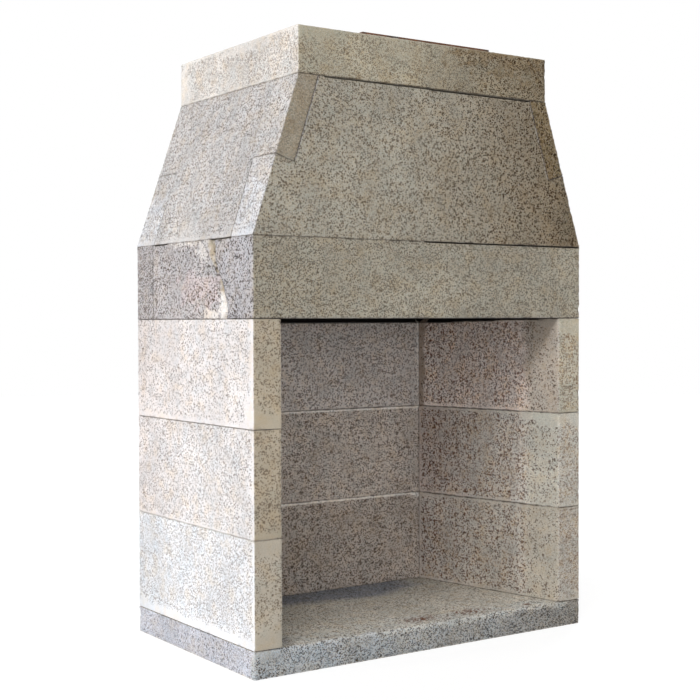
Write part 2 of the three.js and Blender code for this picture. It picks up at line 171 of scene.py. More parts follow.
# Widths of the smooth strips on a face: along its head, its foot, its front arris and the firebox's back
# corner
Strips = namedtuple("Strips", "head foot front corner", defaults=(0.0, 0.0, 0.0, 0.0))
# Distance from its edge at which a strip has faded out, in widths of the strip
STRIP_END = 1.5

# One way that a block faces: its tone at the object's left or front end and at the far end, how much its
# pits show, its smooth strips, how brown its pits are, how dark its joints are with dust and painted shade,
# and how much its pits show at the far end. The tones hold painted light as well as the stone's own tone:
# the faces towards the left lamps are painted paler and the fronts darker
Face = namedtuple(
    "Face", "tone far pits strips warmth joint far_pits", defaults=(None, 1.0, Strips(), 0.6, 1.0, None)
)
FACING = {
    "left": (-1, 0, 0),
    "right": (1, 0, 0),
    "front": (0, -1, 0),
    "back": (0, 1, 0),
    "top": (0, 0, 1),
    "bottom": (0, 0, -1),
}
# How squarely a surface looks one way where it belongs to that face, in part and in full
FACING_FROM = 0.45
FACING_FULL = 0.75
# Share of the object's length or depth at which a face starts to turn to its far tone
FAR_FROM = 0.42

# A patch on a block, of other stone, of painted shade or of painted light: its place as shares of the block's
# box, its reach in metres, its tone, how bare of pits it is, how ragged it is, with the size of the
# raggedness in metres, how strong it is, and the one way that its surface faces
Mark = namedtuple(
    "Mark", "share reach tone bare ragged lump strength facing", defaults=(None, 1.0, 0.3, None, 1.0, None)
)
# Where a mark ends, and how wide its rim is, as shares of its reach
MARK_END = 1.1
MARK_RIM = 0.3
# Size of the raggedness where a mark gives none, as a share of the mark's least reach
RAGGED_SHARE = 1.5

# How far from a bed's height a point may lie and still belong to that bed
BED_TOLERANCE = 0.0002
# How near a neighbour lies where a joint is tight, and how much further off it lies where an arris is free
JOINT_DEPTH = 0.004
FREE_DEPTH = 0.006
# How much an arris in a tight joint is worn, as a share of the wear of a free one
JOINT_WEAR = 0.15

# Grain of one kind of stone: sizes in metres, pit radii as shares of the gap, and tints as shares of the
# stone's tone
Grain = namedtuple(
    "Grain", "gap pit pit_share hole hole_share worm fine brown grey halo tone_spread hue_spread glint bump"
)

COARSE = Grain(
    gap=0.0049, pit=0.45, pit_share=0.72, hole=0.0090, hole_share=0.11, worm=0.008, fine=0.0024,
    brown=(0.19, 0.12, 0.07), grey=(0.22, 0.21, 0.20), halo=0.3, tone_spread=0.19, hue_spread=0.6, glint=0.6,
    bump=0.0010,
)
BLEACHED = COARSE._replace(pit=0.41, hole_share=0.18, halo=0.15, tone_spread=0.08, hue_spread=0.25, glint=0.3)
SOOTY = COARSE._replace(
    gap=0.0051, pit=0.46, pit_share=0.66, hole=0.0094, hole_share=0.24, fine=0.0022, brown=(0.24, 0.11, 0.06),
    grey=(0.10, 0.08, 0.08), halo=0.8, tone_spread=0.24, hue_spread=0.6, glint=1.0,
)
ASHEN = SOOTY._replace(
    gap=0.0053, hole=0.0104, hole_share=0.28, brown=(0.25, 0.18, 0.13), grey=(0.21, 0.20, 0.20), halo=0.3,
    tone_spread=0.20, glint=0.5,
)
FINE = Grain(
    gap=0.0046, pit=0.43, pit_share=0.72, hole=0.0082, hole_share=0.22, worm=0.007, fine=0.0026,
    brown=(0.26, 0.20, 0.14), grey=(0.19, 0.20, 0.23), halo=0.2, tone_spread=0.22, hue_spread=1.0, glint=0.8,
    bump=0.0009,
)
# Shifts between patterns that share a place
HOLE_SHIFT = (5.3, 2.1, 4.7)
HUE_SHIFT = (3.1, 1.7, 0.9)
# The least radius of a spot and how much larger some are, as shares of its usual radius
SPOT_LEAST = 0.65
SPOT_SPREAD = 0.7
# Radius of a hole as a share of its cell, and the share of the cells whose rims are stained
HOLE_RADIUS = 0.34
HALO_SHARE = 0.6
# Sizes of the patches in which a stone's tone, its hue and the darkness of its joints vary
PATCH_SIZE = 0.10
WIDE_SIZE = 0.32
HUE_SIZE = 0.045
SEAM_SIZE = 0.03
# Tints of grains, patches, stains and joints, as shares of the stone's tone. The joints' tint is dust and
# painted shade
WARM_GRAIN = (1.0, 0.91, 0.80)
COOL_GRAIN = (0.90, 0.96, 1.0)
WARM_PATCH = (1.0, 0.96, 0.90)
COOL_PATCH = (0.95, 0.98, 1.0)
STAIN = (0.92, 0.76, 0.58)
SEAM = (0.40, 0.37, 0.35)
# What painted glints and the painted highlight along free, worn arrises add to the stone's tone
GLINT = (0.36, 0.37, 0.40)
ARRIS_HIGHLIGHT = (0.25, 0.25, 0.25)


# Small helpers for node trees


def put(tree, kind, inputs=None, output=0, **settings):
    """Adds a node, fills its inputs with values or links, and returns one of its outputs."""
    node = tree.nodes.new(kind)
    for name, value in settings.items():
        setattr(node, name, value)
    for key, value in (inputs or {}).items():
        if isinstance(value, bpy.types.NodeSocket):
            tree.links.new(value, node.inputs[key])
        else:
            node.inputs[key].default_value = value
    return node.outputs[output]


def maths(tree, operation, *values, clamp=False):
    return put(tree, "ShaderNodeMath", dict(enumerate(values)), operation=operation, use_clamp=clamp)


def product(tree, first, *others):
    for other in others:
        first = maths(tree, "MULTIPLY", first, other)
    return first


def ramp(tree, value, start, end, low=0.0, high=1.0):
    """Smooth step of a value from one level to another."""
    return put(
        tree,
        "ShaderNodeMapRange",
        {"Value": value, "From Min": start, "From Max": end, "To Min": low, "To Max": high},
        interpolation_type="SMOOTHSTEP",
    )


def vector_maths(tree, operation, *values):
    return put(tree, "ShaderNodeVectorMath", dict(enumerate(values)), operation=operation)


def scaled(tree, vector, factor):
    return put(tree, "ShaderNodeVectorMath", {0: vector, "Scale": factor}, operation="SCALE")


def times(tree, size, factor):
    """A size, given as a number or a link, times a number."""
    return maths(tree, "MULTIPLY", size, factor) if isinstance(size, bpy.types.NodeSocket) else size * factor


def per(tree, size):
    """One over a size, given as a number or a link."""
    return maths(tree, "DIVIDE", 1.0, size) if isinstance(size, bpy.types.NodeSocket) else 1 / size


def noise(tree, place, size, detail=0.0, output="Fac", distortion=0.0):
    return put(
        tree,
        "ShaderNodeTexNoise",
        {"Vector": place, "Scale": per(tree, size), "Detail": detail, "Distortion": distortion},
        output=output,
    )


def mixed(tree, factor, first, second, blend="MIX"):
    """The second colour blended over the first."""
    node = tree.nodes.new("ShaderNodeMix")
    node.data_type = "RGBA"
    node.blend_type = blend
    sockets = {"Factor_Float": factor, "A_Color": first, "B_Color": second}
    for socket in node.inputs:
        value = sockets.get(socket.identifier)
        if value is None:
            continue
        if isinstance(value, bpy.types.NodeSocket):
            tree.links.new(value, socket)
        else:
            socket.default_value = value if socket.identifier == "Factor_Float" else (*value, 1.0)
    return next(socket for socket in node.outputs if socket.identifier == "Result_Color")


def empty_tree(owner):
    owner.use_nodes = True
    owner.node_tree.nodes.clear()
    return owner.node_tree


def material(name):
    """A new material, its empty tree and its surface input."""
    made = bpy.data.materials.new(name)
    tree = empty_tree(made)
    return made, tree, tree.nodes.new("ShaderNodeOutputMaterial").inputs["Surface"]


def bumpy_surface(tree, surface, bump, inputs):
    """Gives a material's surface a bump and the given inputs."""
    normal = put(tree, "ShaderNodeBump", bump, output="Normal")
    tree.links.new(put(tree, "ShaderNodeBsdfPrincipled", {**inputs, "Normal": normal}), surface)


def nodes_group(name, inputs):
    """A new group that changes a geometry, with more inputs of the given kinds, and what it is given."""
    tree = bpy.data.node_groups.new(name, "GeometryNodeTree")
    tree.is_modifier = True
    for label, kind in {"Geometry": "Geometry", **inputs}.items():
        tree.interface.new_socket(label, in_out="INPUT", socket_type=f"NodeSocket{kind}")
    tree.interface.new_socket("Geometry", in_out="OUTPUT", socket_type="NodeSocketGeometry")
    return tree, tree.nodes.new("NodeGroupInput").outputs


def finish_group(tree, shape, finish):
    """Ends a group with plain mesh in one material."""
    shape = put(tree, "GeometryNodeRealizeInstances", {"Geometry": shape})
    shape = put(tree, "GeometryNodeSetMaterial", {"Geometry": shape, "Material": finish})
    tree.links.new(shape, tree.nodes.new("NodeGroupOutput").inputs["Geometry"])


# Stone materials


def split(tree, vector):
    """The three numbers of a vector or a colour."""
    return put(tree, "ShaderNodeSeparateXYZ", {"Vector": vector}).node.outputs


def pit_cells(tree, place, gap):
    """Cells with ragged rims: how far a place lies from its cell's middle, and three chances of the cell."""
    drift = noise(tree, place, times(tree, gap, 0.7), 1.0, "Color")
    drift = vector_maths(tree, "SUBTRACT", drift, (0.5, 0.5, 0.5))
    ragged = vector_maths(tree, "ADD", place, scaled(tree, drift, times(tree, gap, 0.6)))
    cells = put(tree, "ShaderNodeTexVoronoi", {"Vector": ragged, "Scale": per(tree, gap)})
    return cells, split(tree, cells.node.outputs["Color"])


def spots(tree, cells, chance, radius, present):
    """Spots of uneven size with crisp rims, in some of the cells."""
    rim = maths(tree, "MULTIPLY_ADD", chance[1], SPOT_SPREAD * radius, SPOT_LEAST * radius)
    inside = ramp(tree, maths(tree, "SUBTRACT", cells, rim), -0.05, 0.07, 1.0, 0.0)
    return product(tree, inside, maths(tree, "LESS_THAN", chance[0], present))


def pit_pattern(tree, place, grain):
    """Dark pits: small spots, larger holes and short worms. Also a chance of each spot, and stained rings."""
    cells, chance = pit_cells(tree, place, grain.gap)
    pits = spots(tree, cells, chance, grain.pit, grain.pit_share)
    cells, luck = pit_cells(tree, vector_maths(tree, "ADD", place, HOLE_SHIFT), grain.hole)
    pits = maths(tree, "MAXIMUM", pits, spots(tree, cells, luck, HOLE_RADIUS, grain.hole_share))
    stained = maths(tree, "LESS_THAN", luck[0], HALO_SHARE)
    halo = product(tree, ramp(tree, cells, 0.3, 0.75, 1.0, 0.0), stained)
    ridge = maths(tree, "SUBTRACT", noise(tree, place, grain.worm, 1.0, "Fac", 0.6), 0.5)
    ridge = ramp(tree, maths(tree, "ABSOLUTE", ridge), 0.010, 0.040, 0.9, 0.0)
    worms = product(tree, ridge, ramp(tree, noise(tree, place, grain.worm * 1.2, 1.0), 0.54, 0.62))
    return maths(tree, "MAXIMUM", pits, worms), chance[2], halo


def stone_material(name, grain, offset):
    """Pumice concrete: fine grains of many tones and dark pits. The mesh carries what differs by place."""
    made, tree, surface = material(name)
    place = put(tree, "ShaderNodeTexCoord", output="Object")
    place = put(tree, "ShaderNodeMapping", {"Vector": place, "Location": offset})

    def attribute(label, output="Fac"):
        return put(tree, "ShaderNodeAttribute", attribute_name=label, output=output)

    def tinted(stone, factor, tint):
        return mixed(tree, factor, stone, tint, "MULTIPLY")

    patch = noise(tree, place, PATCH_SIZE, 2.0)
    wide = noise(tree, place, WIDE_SIZE, 1.0)
    hue = noise(tree, vector_maths(tree, "ADD", place, HUE_SHIFT), HUE_SIZE, 2.0)
    pits, pit_chance, halo = pit_pattern(tree, place, grain)
    uneven = maths(tree, "MULTIPLY_ADD", pit_chance, 0.6, maths(tree, "MULTIPLY_ADD", hue, 0.9, -0.75))
    bare = ramp(tree, maths(tree, "ADD", attribute("smooth"), uneven), 0.35, 0.65, 1.0, 0.06)
    pits = product(tree, pits, ramp(tree, patch, 0.32, 0.50, 0.65, 1.0), attribute("pits"), bare)

    fine = split(tree, noise(tree, place, grain.fine, 1.0, "Color"))
    lightness = product(
        tree,
        ramp(tree, fine[0], 0.32, 0.68, 1 - grain.tone_spread, 1 + grain.tone_spread),
        ramp(tree, patch, 0.3, 0.7, 0.93, 1.07),
        ramp(tree, wide, 0.3, 0.7, 0.93, 1.07),
    )
    grey = put(tree, "ShaderNodeCombineXYZ", {0: lightness, 1: lightness, 2: lightness})
    stone = tinted(attribute("tone", "Color"), 1.0, grey)
    for end, tint in ((0.65, WARM_GRAIN), (0.35, COOL_GRAIN)):
        stone = tinted(stone, product(tree, ramp(tree, fine[1], 0.5, end), grain.hue_spread), tint)
    for end, tint in ((0.7, WARM_PATCH), (0.3, COOL_PATCH)):
        stone = tinted(stone, ramp(tree, hue, 0.5, end), tint)
    rusty = ramp(tree, hue, 0.38, 0.62, 0.15, 1.0)
    stone = tinted(stone, product(tree, halo, bare, rusty, attribute("warmth"), grain.halo), STAIN)
    glints = product(tree, ramp(tree, fine[2], 0.60, 0.68), grain.glint, bare)
    stone = mixed(tree, glints, stone, GLINT, "SCREEN")

    browner = maths(tree, "MULTIPLY_ADD", pit_chance, 1.2, -0.6)
    browner = maths(tree, "ADD", attribute("warmth"), browner, clamp=True)
    pit_tint = mixed(tree, browner, grain.grey, grain.brown)
    stone = tinted(stone, pits, pit_tint)
    # Pores and chips a little darker again: painted shade in the hollows
    stone = tinted(stone, product(tree, attribute("pore"), 0.3), pit_tint)
    # Darker where a neighbour lies tight: dust in the joint and painted shade between the blocks
    seam = product(
        tree,
        attribute("joint"),
        ramp(tree, attribute("arris"), 0.0006, 0.0028, 1.0, 0.0),
        ramp(tree, noise(tree, place, SEAM_SIZE, 2.0), 0.38, 0.62, 0.3, 1.0),
    )
    stone = tinted(stone, seam, SEAM)
    # Painted highlight along the free arrises
    edge = product(tree, ramp(tree, attribute("arris"), 0.001, 0.004, 0.25, 0.0), attribute("exposed"))
    stone = mixed(tree, edge, stone, ARRIS_HIGHLIGHT, "SCREEN")

    height = maths(tree, "MULTIPLY_ADD", pits, -1.0, product(tree, fine[0], 0.5))
    bumpy_surface(
        tree,
        surface,
        {"Strength": 0.8, "Distance": grain.bump, "Height": height},
        {"Base Color": stone, "Roughness": 0.93, "Specular IOR Level": 0.2},
    )
    return made


# Mesh data as arrays


def read_vectors(items, label):
    values = np.empty(len(items) * 3, np.float32)
    items.foreach_get(label, values)
    return values.reshape(-1, 3).astype(float)


def read_points(mesh):
    return read_vectors(mesh.vertices, "co")


def write_points(mesh, points):
    mesh.vertices.foreach_set("co", points.astype(np.float32).ravel())
    mesh.update()


def write_values(mesh, label, values):
    made = mesh.attributes.new(label, "FLOAT", "POINT")
    made.data.foreach_set("value", values.astype(np.float32))


def lumps(points, size, seed, waves=14):
    """Smooth uneven values from about -1 to 1, with lumps of about the given size."""
    random = np.random.default_rng(seed)
    ways = random.normal(size=(waves, 3))
    ways *= (2 * math.pi / size * random.uniform(0.5, 1.5, waves) / np.linalg.norm(ways, axis=1))[:, None]
    return np.sin(points @ ways.T + random.uniform(0, 2 * math.pi, waves)).sum(axis=1) / math.sqrt(waves)


# Pieces

# Distances within which points are merged, in the frame's loose triangles and on a sharpened arris
LOOSE_GAP = 0.01 * MM
ARRIS_GAP = 0.3 * MM
# Width below which a sliver is dissolved
THINNEST = 0.05 * MM


def link(data, name):
    made = bpy.data.objects.new(name, data)
    bpy.context.scene.collection.objects.link(made)
    return made


def merge_points(mesh, gap, thinnest=None):
    """Merges the points that lie together, and dissolves the slivers between them where a width is given."""
    shape = bmesh.new()
    shape.from_mesh(mesh)
    bmesh.ops.remove_doubles(shape, verts=shape.verts, dist=gap)
    if thinnest:
        bmesh.ops.dissolve_degenerate(shape, edges=shape.edges, dist=thinnest)
    shape.to_mesh(mesh)
    shape.free()


def merged_copy(node):
    """The mesh of a CAD node with its loose triangles joined."""
    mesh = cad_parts[node].data.copy()
    merge_points(mesh, LOOSE_GAP)
    return mesh


def applied(piece):
    """Turns a piece's modifiers into plain mesh."""
    evaluated = piece.evaluated_get(bpy.context.evaluated_depsgraph_get())
    mesh = bpy.data.meshes.new_from_object(evaluated)
    piece.modifiers.clear()
    old = piece.data
    piece.data = mesh
    bpy.data.meshes.remove(old)
    return mesh


def place_piece(piece, body, nodes):
    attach(piece, body)
    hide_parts(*nodes)


# Blocks

# Angle between two faces of a solid from which the edge between them is an arris
ARRIS_FROM = math.radians(20)


def arris_lines(mesh):
    """The ends of a block's sharp edges."""
    shape = bmesh.new()
    shape.from_mesh(mesh)
    sharp = [edge for edge in shape.edges if edge.calc_face_angle(0.0) > ARRIS_FROM]
    ends = np.array([[edge.verts[0].co[:], edge.verts[1].co[:]] for edge in sharp])
    shape.free()
    return ends


def nearest_on_lines(points, lines):
    """How far each point lies from the nearest line, and the place on that line."""
    nearest = np.full(len(points), np.inf)
    places = points.copy()
    for start, end in lines:
        along = end - start
        share_along = np.clip((points - start) @ along / (along @ along), 0, 1)
        place = start + share_along[:, None] * along
        gap = np.einsum("ij,ij->i", points - place, points - place)
        closer = gap < nearest
        nearest[closer] = gap[closer]
        places[closer] = place[closer]
    return np.sqrt(nearest), places


def sharpen_arrises(mesh, lines, reach):
    """Draws the points beside a block's arrises onto them, because an even mesh rounds them off."""
    points = read_points(mesh)
    gap, places = nearest_on_lines(points, lines)
    points[gap < reach] = places[gap < reach]
    write_points(mesh, points)
    merge_points(mesh, ARRIS_GAP, THINNEST)


def neighbours_of(node):
    """The surfaces of all the other blocks, for distances."""
    corners, faces = [], []
    for other in BLOCK_NODES:
        if other == node:
            continue
        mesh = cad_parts[other].data
        start = len(corners)
        corners += [vertex.co for vertex in mesh.vertices]
        faces += [[start + corner for corner in face.vertices] for face in mesh.polygons]
    return BVHTree.FromPolygons(corners, faces)


def distance_to_neighbours(points, arris, node, reach):
    """How far the points near an arris lie from the next block, up to the given reach."""
    tree = neighbours_of(node)
    near = np.full(len(points), reach)
    for index in np.flatnonzero(arris < reach):
        distance = tree.find_nearest(points[index], reach)[3]
        if distance is not None:
            near[index] = distance
    return near


def blend_in(values, weight, target):
    return values + weight[:, None] * (np.array(target) - values)


def facing_level(normals, way):
    return np.clip((normals @ FACING[way] - FACING_FROM) / (FACING_FULL - FACING_FROM), 0, 1)


def strip_levels(points, low, high, strips):
    """1 on the smooth strips of a face, fading beside them."""
    _, y, z = points.T
    gaps = (high[2] - z, z - low[2], y - low[1], np.abs(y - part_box("back_wall_upper")[0][1]))
    levels = np.zeros(len(points))
    for gap, width in zip(gaps, strips):
        if width:
            levels = np.maximum(levels, np.clip(STRIP_END - gap / width, 0, 1))
    return levels


def paint_block(mesh, block, arris, near, scar):
    """Stores on a block's points what its faces, marks, arrises and joints change in its stone."""
    normals, points = read_vectors(mesh.vertex_normals, "vector"), read_points(mesh)
    low, high = points.min(axis=0), points.max(axis=0)
    far_share = np.clip((points - cad_low) / (cad_high - cad_low), 0, 1)
    rest = np.ones(len(points))
    totals = 0
    for way, face in block.faces.items():
        weight = rest if way == "other" else np.minimum(facing_level(normals, way), rest)
        far = far_share[:, 1 if way in SIDES else 0]
        along = np.clip((far - FAR_FROM) / (1 - FAR_FROM), 0, 1)
        tone = blend_in(np.tile(face.tone, (len(points), 1)), along, face.far or face.tone)
        plain = np.tile([face.pits, face.warmth, face.joint], (len(points), 1))
        plain[:, 0] += along * ((face.far_pits or face.pits) - face.pits)
        strips = strip_levels(points, low, high, face.strips)
        totals += weight[:, None] * np.column_stack([tone, plain, strips])
        rest = rest - weight
    tone, (pits, warmth, joint, smooth) = totals[:, :3], totals[:, 3:].T
    if scar is not None:
        tone = blend_in(tone, scar, block.scar_tone)
        smooth = np.maximum(smooth, scar)
    for number, mark in enumerate(block.marks):
        middle = low + np.array(mark.share) * (high - low)
        off = np.linalg.norm((points - middle) / mark.reach, axis=1)
        lump = mark.lump or RAGGED_SHARE * min(mark.reach)
        rim = MARK_END - off + mark.ragged * lumps(points, lump, [number, *block.node.encode()])
        weight = np.clip(rim / MARK_RIM, 0, 1) * mark.strength
        if mark.facing:
            weight = weight * facing_level(normals, mark.facing)
        smooth = np.maximum(smooth, weight * mark.bare)
        if mark.tone:
            tone = blend_in(tone, weight, mark.tone)
    shades = np.ones((len(points), 4), np.float32)
    shades[:, :3] = tone
    mesh.color_attributes.new("tone", "FLOAT_COLOR", "POINT").data.foreach_set("color", shades.ravel())
    write_values(mesh, "pits", pits)
    write_values(mesh, "smooth", smooth)
    write_values(mesh, "warmth", warmth)
    write_values(mesh, "arris", arris)
    write_values(mesh, "joint", joint * np.clip(2 - near / JOINT_DEPTH, 0, 1))
    write_values(mesh, "exposed", np.clip((near - JOINT_DEPTH) / FREE_DEPTH, JOINT_WEAR, 1))


# Angle between two faces from which the edge between them is drawn sharp
SHARP_FROM = math.radians(38)


def skin_tree():
    """Nodes that wear a block: pores and a rough face, worn arrises and chips, all cut inwards."""
    sizes = (
        "Hole Gap", "Hole Share", "Hole Depth", "Rough Size", "Rough Depth", "Wear", "Wear Reach",
        "Chip Size", "Chip Depth", "Chip Reach",
    )
    kinds = {**dict.fromkeys(sizes, "Float"), "Offset": "Vector", "Material": "Material"}
    tree, given = nodes_group("pumice_skin", kinds)

    def attribute(label):
        return put(tree, "GeometryNodeInputNamedAttribute", {"Name": label}, data_type="FLOAT")

    def beside_arris(reach):
        """1 on an arris, falling to 0 at the given reach from it."""
        return maths(tree, "SUBTRACT", 1.0, maths(tree, "DIVIDE", arris, reach), clamp=True)

    arris = attribute("arris")
    place = vector_maths(tree, "ADD", put(tree, "GeometryNodeInputPosition"), given["Offset"])
    bare = maths(tree, "SUBTRACT", 1.0, attribute("smooth"), clamp=True)
    face = product(tree, attribute("pits"), bare)
    cells, chance = pit_cells(tree, vector_maths(tree, "ADD", place, HOLE_SHIFT), given["Hole Gap"])
    holes = maths(tree, "LESS_THAN", chance[0], given["Hole Share"])
    pore = product(tree, ramp(tree, cells, 0.15, 0.55, 1.0, 0.0), face, holes)
    rough = ramp(tree, noise(tree, place, given["Rough Size"], 1.0), 0.35, 0.72)
    rough = product(tree, rough, maths(tree, "MULTIPLY_ADD", face, 0.9, 0.1))
    uneven = maths(tree, "MULTIPLY_ADD", noise(tree, place, given["Rough Size"], 2.0), 1.4, 0.3)
    worn = product(tree, beside_arris(given["Wear Reach"]), uneven)
    chip = ramp(tree, noise(tree, place, given["Chip Size"], 2.0), 0.54, 0.70)
    chip = product(tree, beside_arris(given["Chip Reach"]), chip)
    depth = product(tree, pore, given["Hole Depth"])
    depth = maths(tree, "MULTIPLY_ADD", rough, given["Rough Depth"], depth)
    edges = maths(tree, "MULTIPLY_ADD", worn, given["Wear"], product(tree, chip, given["Chip Depth"]))
    depth = maths(tree, "MULTIPLY_ADD", edges, attribute("exposed"), depth)
    depth = product(tree, depth, attribute("free"), -1.0)
    inwards = scaled(tree, put(tree, "GeometryNodeInputNormal"), depth)
    cut = put(tree, "GeometryNodeSetPosition", {"Geometry": given["Geometry"], "Offset": inwards})
    stored = {"Geometry": cut, "Name": "pore", "Value": maths(tree, "MAXIMUM", pore, chip)}
    cut = put(tree, "GeometryNodeStoreNamedAttribute", stored, data_type="FLOAT", domain="POINT")
    cut = put(tree, "GeometryNodeSetShadeSmooth", {0: cut, "Shade Smooth": True})
    steep = maths(tree, "GREATER_THAN", put(tree, "GeometryNodeInputMeshEdgeAngle"), SHARP_FROM)
    steep = {0: cut, "Selection": steep, "Shade Smooth": False}
    cut = put(tree, "GeometryNodeSetShadeSmooth", steep, domain="EDGE")
    finish_group(tree, cut, given["Material"])
    return tree


def set_inputs(modifier, values):
    """Sets a nodes modifier's inputs by their sockets' identifiers."""
    for item in modifier.node_group.interface.items_tree:
        if item.item_type == "SOCKET" and item.in_out == "INPUT" and item.name in values:
            modifier[item.identifier] = values[item.name]


def bed_levels(points, beds):
    """1 on points that are free to be cut, 0 on the flat beds that touch a neighbour."""
    heights = points[:, 2]
    free = np.ones(len(points))
    for bed in beds:
        level_of_bed = heights.max() if bed == "top" else heights.min()
        free[np.abs(heights - level_of_bed) < BED_TOLERANCE] = 0
    return free


# One block: its CAD node and slot, its grain, its faces by the way they look, with all other places last, its
# flat beds, its marks, what breaks or cuts its shape, with the tone of the cut, and shares of the usual grid,
# wear and chips
Block = namedtuple(
    "Block",
    "node slot grain faces beds marks shape scar_tone grid wear chips",
    defaults=((), (), None, None, 1.0, 1.0, 1.0),
)
# How far apart two blocks' patterns may lie
OFFSET_SPAN = 20


def lay_block(block, context):
    """Builds one block: an even mesh over its solid, its own broken or cut places, and the worn skin."""
    skin = context.scene.fireplace_skin
    group = bpy.data.node_groups.get("pumice_skin") or skin_tree()
    random = np.random.default_rng([skin.seed, *block.node.encode()])
    offset = tuple(float(shift) for shift in random.uniform(0, OFFSET_SPAN, 3))
    solid = merged_copy(block.node)
    lines = arris_lines(solid)
    piece = link(solid, f"{block.node}_stone")
    even = piece.modifiers.new("even", "REMESH")
    even.mode = "VOXEL"
    even.voxel_size = skin.grid * block.grid
    pull = skin.arris_pull * skin.grid * block.grid
    mesh = applied(piece)
    sharpen_arrises(mesh, lines, pull)
    scar = None
    if block.shape:
        points, scar = block.shape(read_points(mesh))
        write_points(mesh, points)
    points = read_points(mesh)
    arris, _ = nearest_on_lines(points, lines)
    near = distance_to_neighbours(points, arris, block.node, skin.joint_reach)
    write_values(mesh, "free", bed_levels(points, block.beds))
    paint_block(mesh, block, arris, near, scar)
    finish = stone_material(f"{block.node}_finish", block.grain, offset)
    worn = piece.modifiers.new("worn", "NODES")
    worn.node_group = group
    set_inputs(worn, {
        "Hole Gap": block.grain.hole,
        "Hole Share": block.grain.hole_share,
        "Hole Depth": skin.hole_depth,
        "Rough Size": skin.rough_size,
        "Rough Depth": skin.rough_depth,
        "Wear": skin.wear * block.wear,
        "Wear Reach": skin.wear_reach,
        "Chip Size": skin.chip_size,
        "Chip Depth": skin.chip_depth * block.chips,
        "Chip Reach": skin.chip_reach,
        "Offset": offset,
        "Material": finish,
    })
    applied(piece)
    place_piece(piece, "hearth", [block.node])


# Tones of the faces

# Left sides of the side walls, painted paler than the same blocks' fronts: partly painted light from the left
LEFT_SIDES = {
    "lower": Face((0.80, 0.80, 0.825), (0.735, 0.745, 0.775), 0.72, Strips(0.0, 0.030, 0.010), 0.55, 0.10),
    "middle": Face((0.80, 0.77, 0.77), (0.735, 0.685, 0.675), 0.82, Strips(0.0, 0.008, 0.010), 0.55, 0.15),
    "upper": Face((0.79, 0.75, 0.745), (0.71, 0.655, 0.64), 0.85, Strips(0.0, 0.014, 0.018), 0.55, 0.15),
}
LEFT_ENDS = {
    "lower": Face((0.52, 0.465, 0.38), None, 0.65, Strips(0.040, 0.058), 0.8, 0.6),
    "middle": Face((0.49, 0.42, 0.32), None, 0.62, Strips(0.004, 0.024), 0.8, 0.35),
    "upper": Face((0.515, 0.445, 0.34), None, 0.66, Strips(0.004, 0.052), 0.8, 0.1),
}
RIGHT_ENDS = {
    "lower": Face((0.48, 0.44, 0.38), None, 0.6, Strips(0.006, 0.010), 0.8, 0.6),
    "middle": Face((0.55, 0.515, 0.45), None, 0.58, Strips(0.020, 0.010), 0.8, 0.7),
    "upper": Face((0.51, 0.465, 0.37), None, 0.6, Strips(0.006, 0.010), 0.8, 0.7),
}
# Tones of a side wall's inner face at the front and at the back, with painted light: the upper course, which
# the lintel shades, is painted lighter towards the back
INSIDE_WITH_PAINTED_LIGHT = {
    "lower": ((0.655, 0.605, 0.535), (0.62, 0.555, 0.525)),
    "middle": ((0.72, 0.665, 0.60), (0.605, 0.50, 0.475)),
    "upper": ((0.87, 0.76, 0.70), (0.95, 0.86, 0.815)),
}
# Tones of the strip of an inner face that the low sun lights: painted shade that darkens the lit strip,
# tinted warm like the sunlight
SUNLIT_STRIP_SHADE = {"lower": (0.56, 0.515, 0.435), "middle": (0.61, 0.58, 0.505), "upper": (0.54, 0.475, 0.405)}
# Painted shade in the back corner of a side wall's inner face
CORNER_SHADE = (0.46, 0.37, 0.31)
BACK = {"lower": (0.57, 0.50, 0.445), "middle": (0.655, 0.585, 0.53), "upper": (0.69, 0.63, 0.595)}
# Painted highlight on the back wall's arrises
EDGE_HIGHLIGHT = (0.95, 0.90, 0.85)
PLAIN_SIDE = (0.54, 0.50, 0.44)
BED = (0.45, 0.42, 0.37)
# Near-black painted shade on the ledge under the smoke chamber
LEDGE_SHADE = (0.018, 0.016, 0.015)
# Painted shade on the faces inside the smoke chamber and under the band course
CHAMBER_SHADE = (0.16, 0.145, 0.13)
BROKEN = (0.50, 0.43, 0.335)
CAVITY = (0.07, 0.045, 0.03)
CREAM = (0.76, 0.72, 0.69)
PINKISH = (0.57, 0.505, 0.51)
RUST = (0.16, 0.062, 0.028)
LINTEL_FRONT = (0.41, 0.375, 0.30)
LINTEL_END = (0.465, 0.45, 0.47)
BAND_SIDE = (0.50, 0.472, 0.476)
REAR_SIDE = (0.465, 0.44, 0.445)
DOME_FRONT = (0.42, 0.388, 0.318)
DOME_FRONT_FAR = (0.228, 0.178, 0.113)
DOME_LEFT_TAB = (0.33, 0.288, 0.22)
DOME_RIGHT_TAB = (0.24, 0.18, 0.10)
DOME_SIDE = (0.54, 0.52, 0.515)
DOME_SIDE_PALE = (0.60, 0.58, 0.57)
DOME_SIDE_TAB = (0.62, 0.622, 0.65)
COLLAR_FRONT = (0.475, 0.43, 0.33)
COLLAR_FRONT_FAR = (0.19, 0.142, 0.08)
COLLAR_SIDE = (0.685, 0.65, 0.62)
OCHRE_STAIN = (0.255, 0.185, 0.10)
SLAB_SIDE = (0.575, 0.58, 0.64)
SLAB_FRONT = (0.46, 0.475, 0.48)
SLAB_FRONT_FAR = (0.31, 0.29, 0.26)
SLAB_BLUISH = (0.52, 0.545, 0.565)
SLAB_TOP = (0.555, 0.52, 0.455)
# Painted light on the front of the hearth, and a painted highlight along its lip
SLAB_LIP_LIGHT = (0.56, 0.555, 0.52)
# Painted shadow on the hearth: at its back and along the left wall
PAINTED_SLAB_SHADOW = (0.275, 0.29, 0.325)

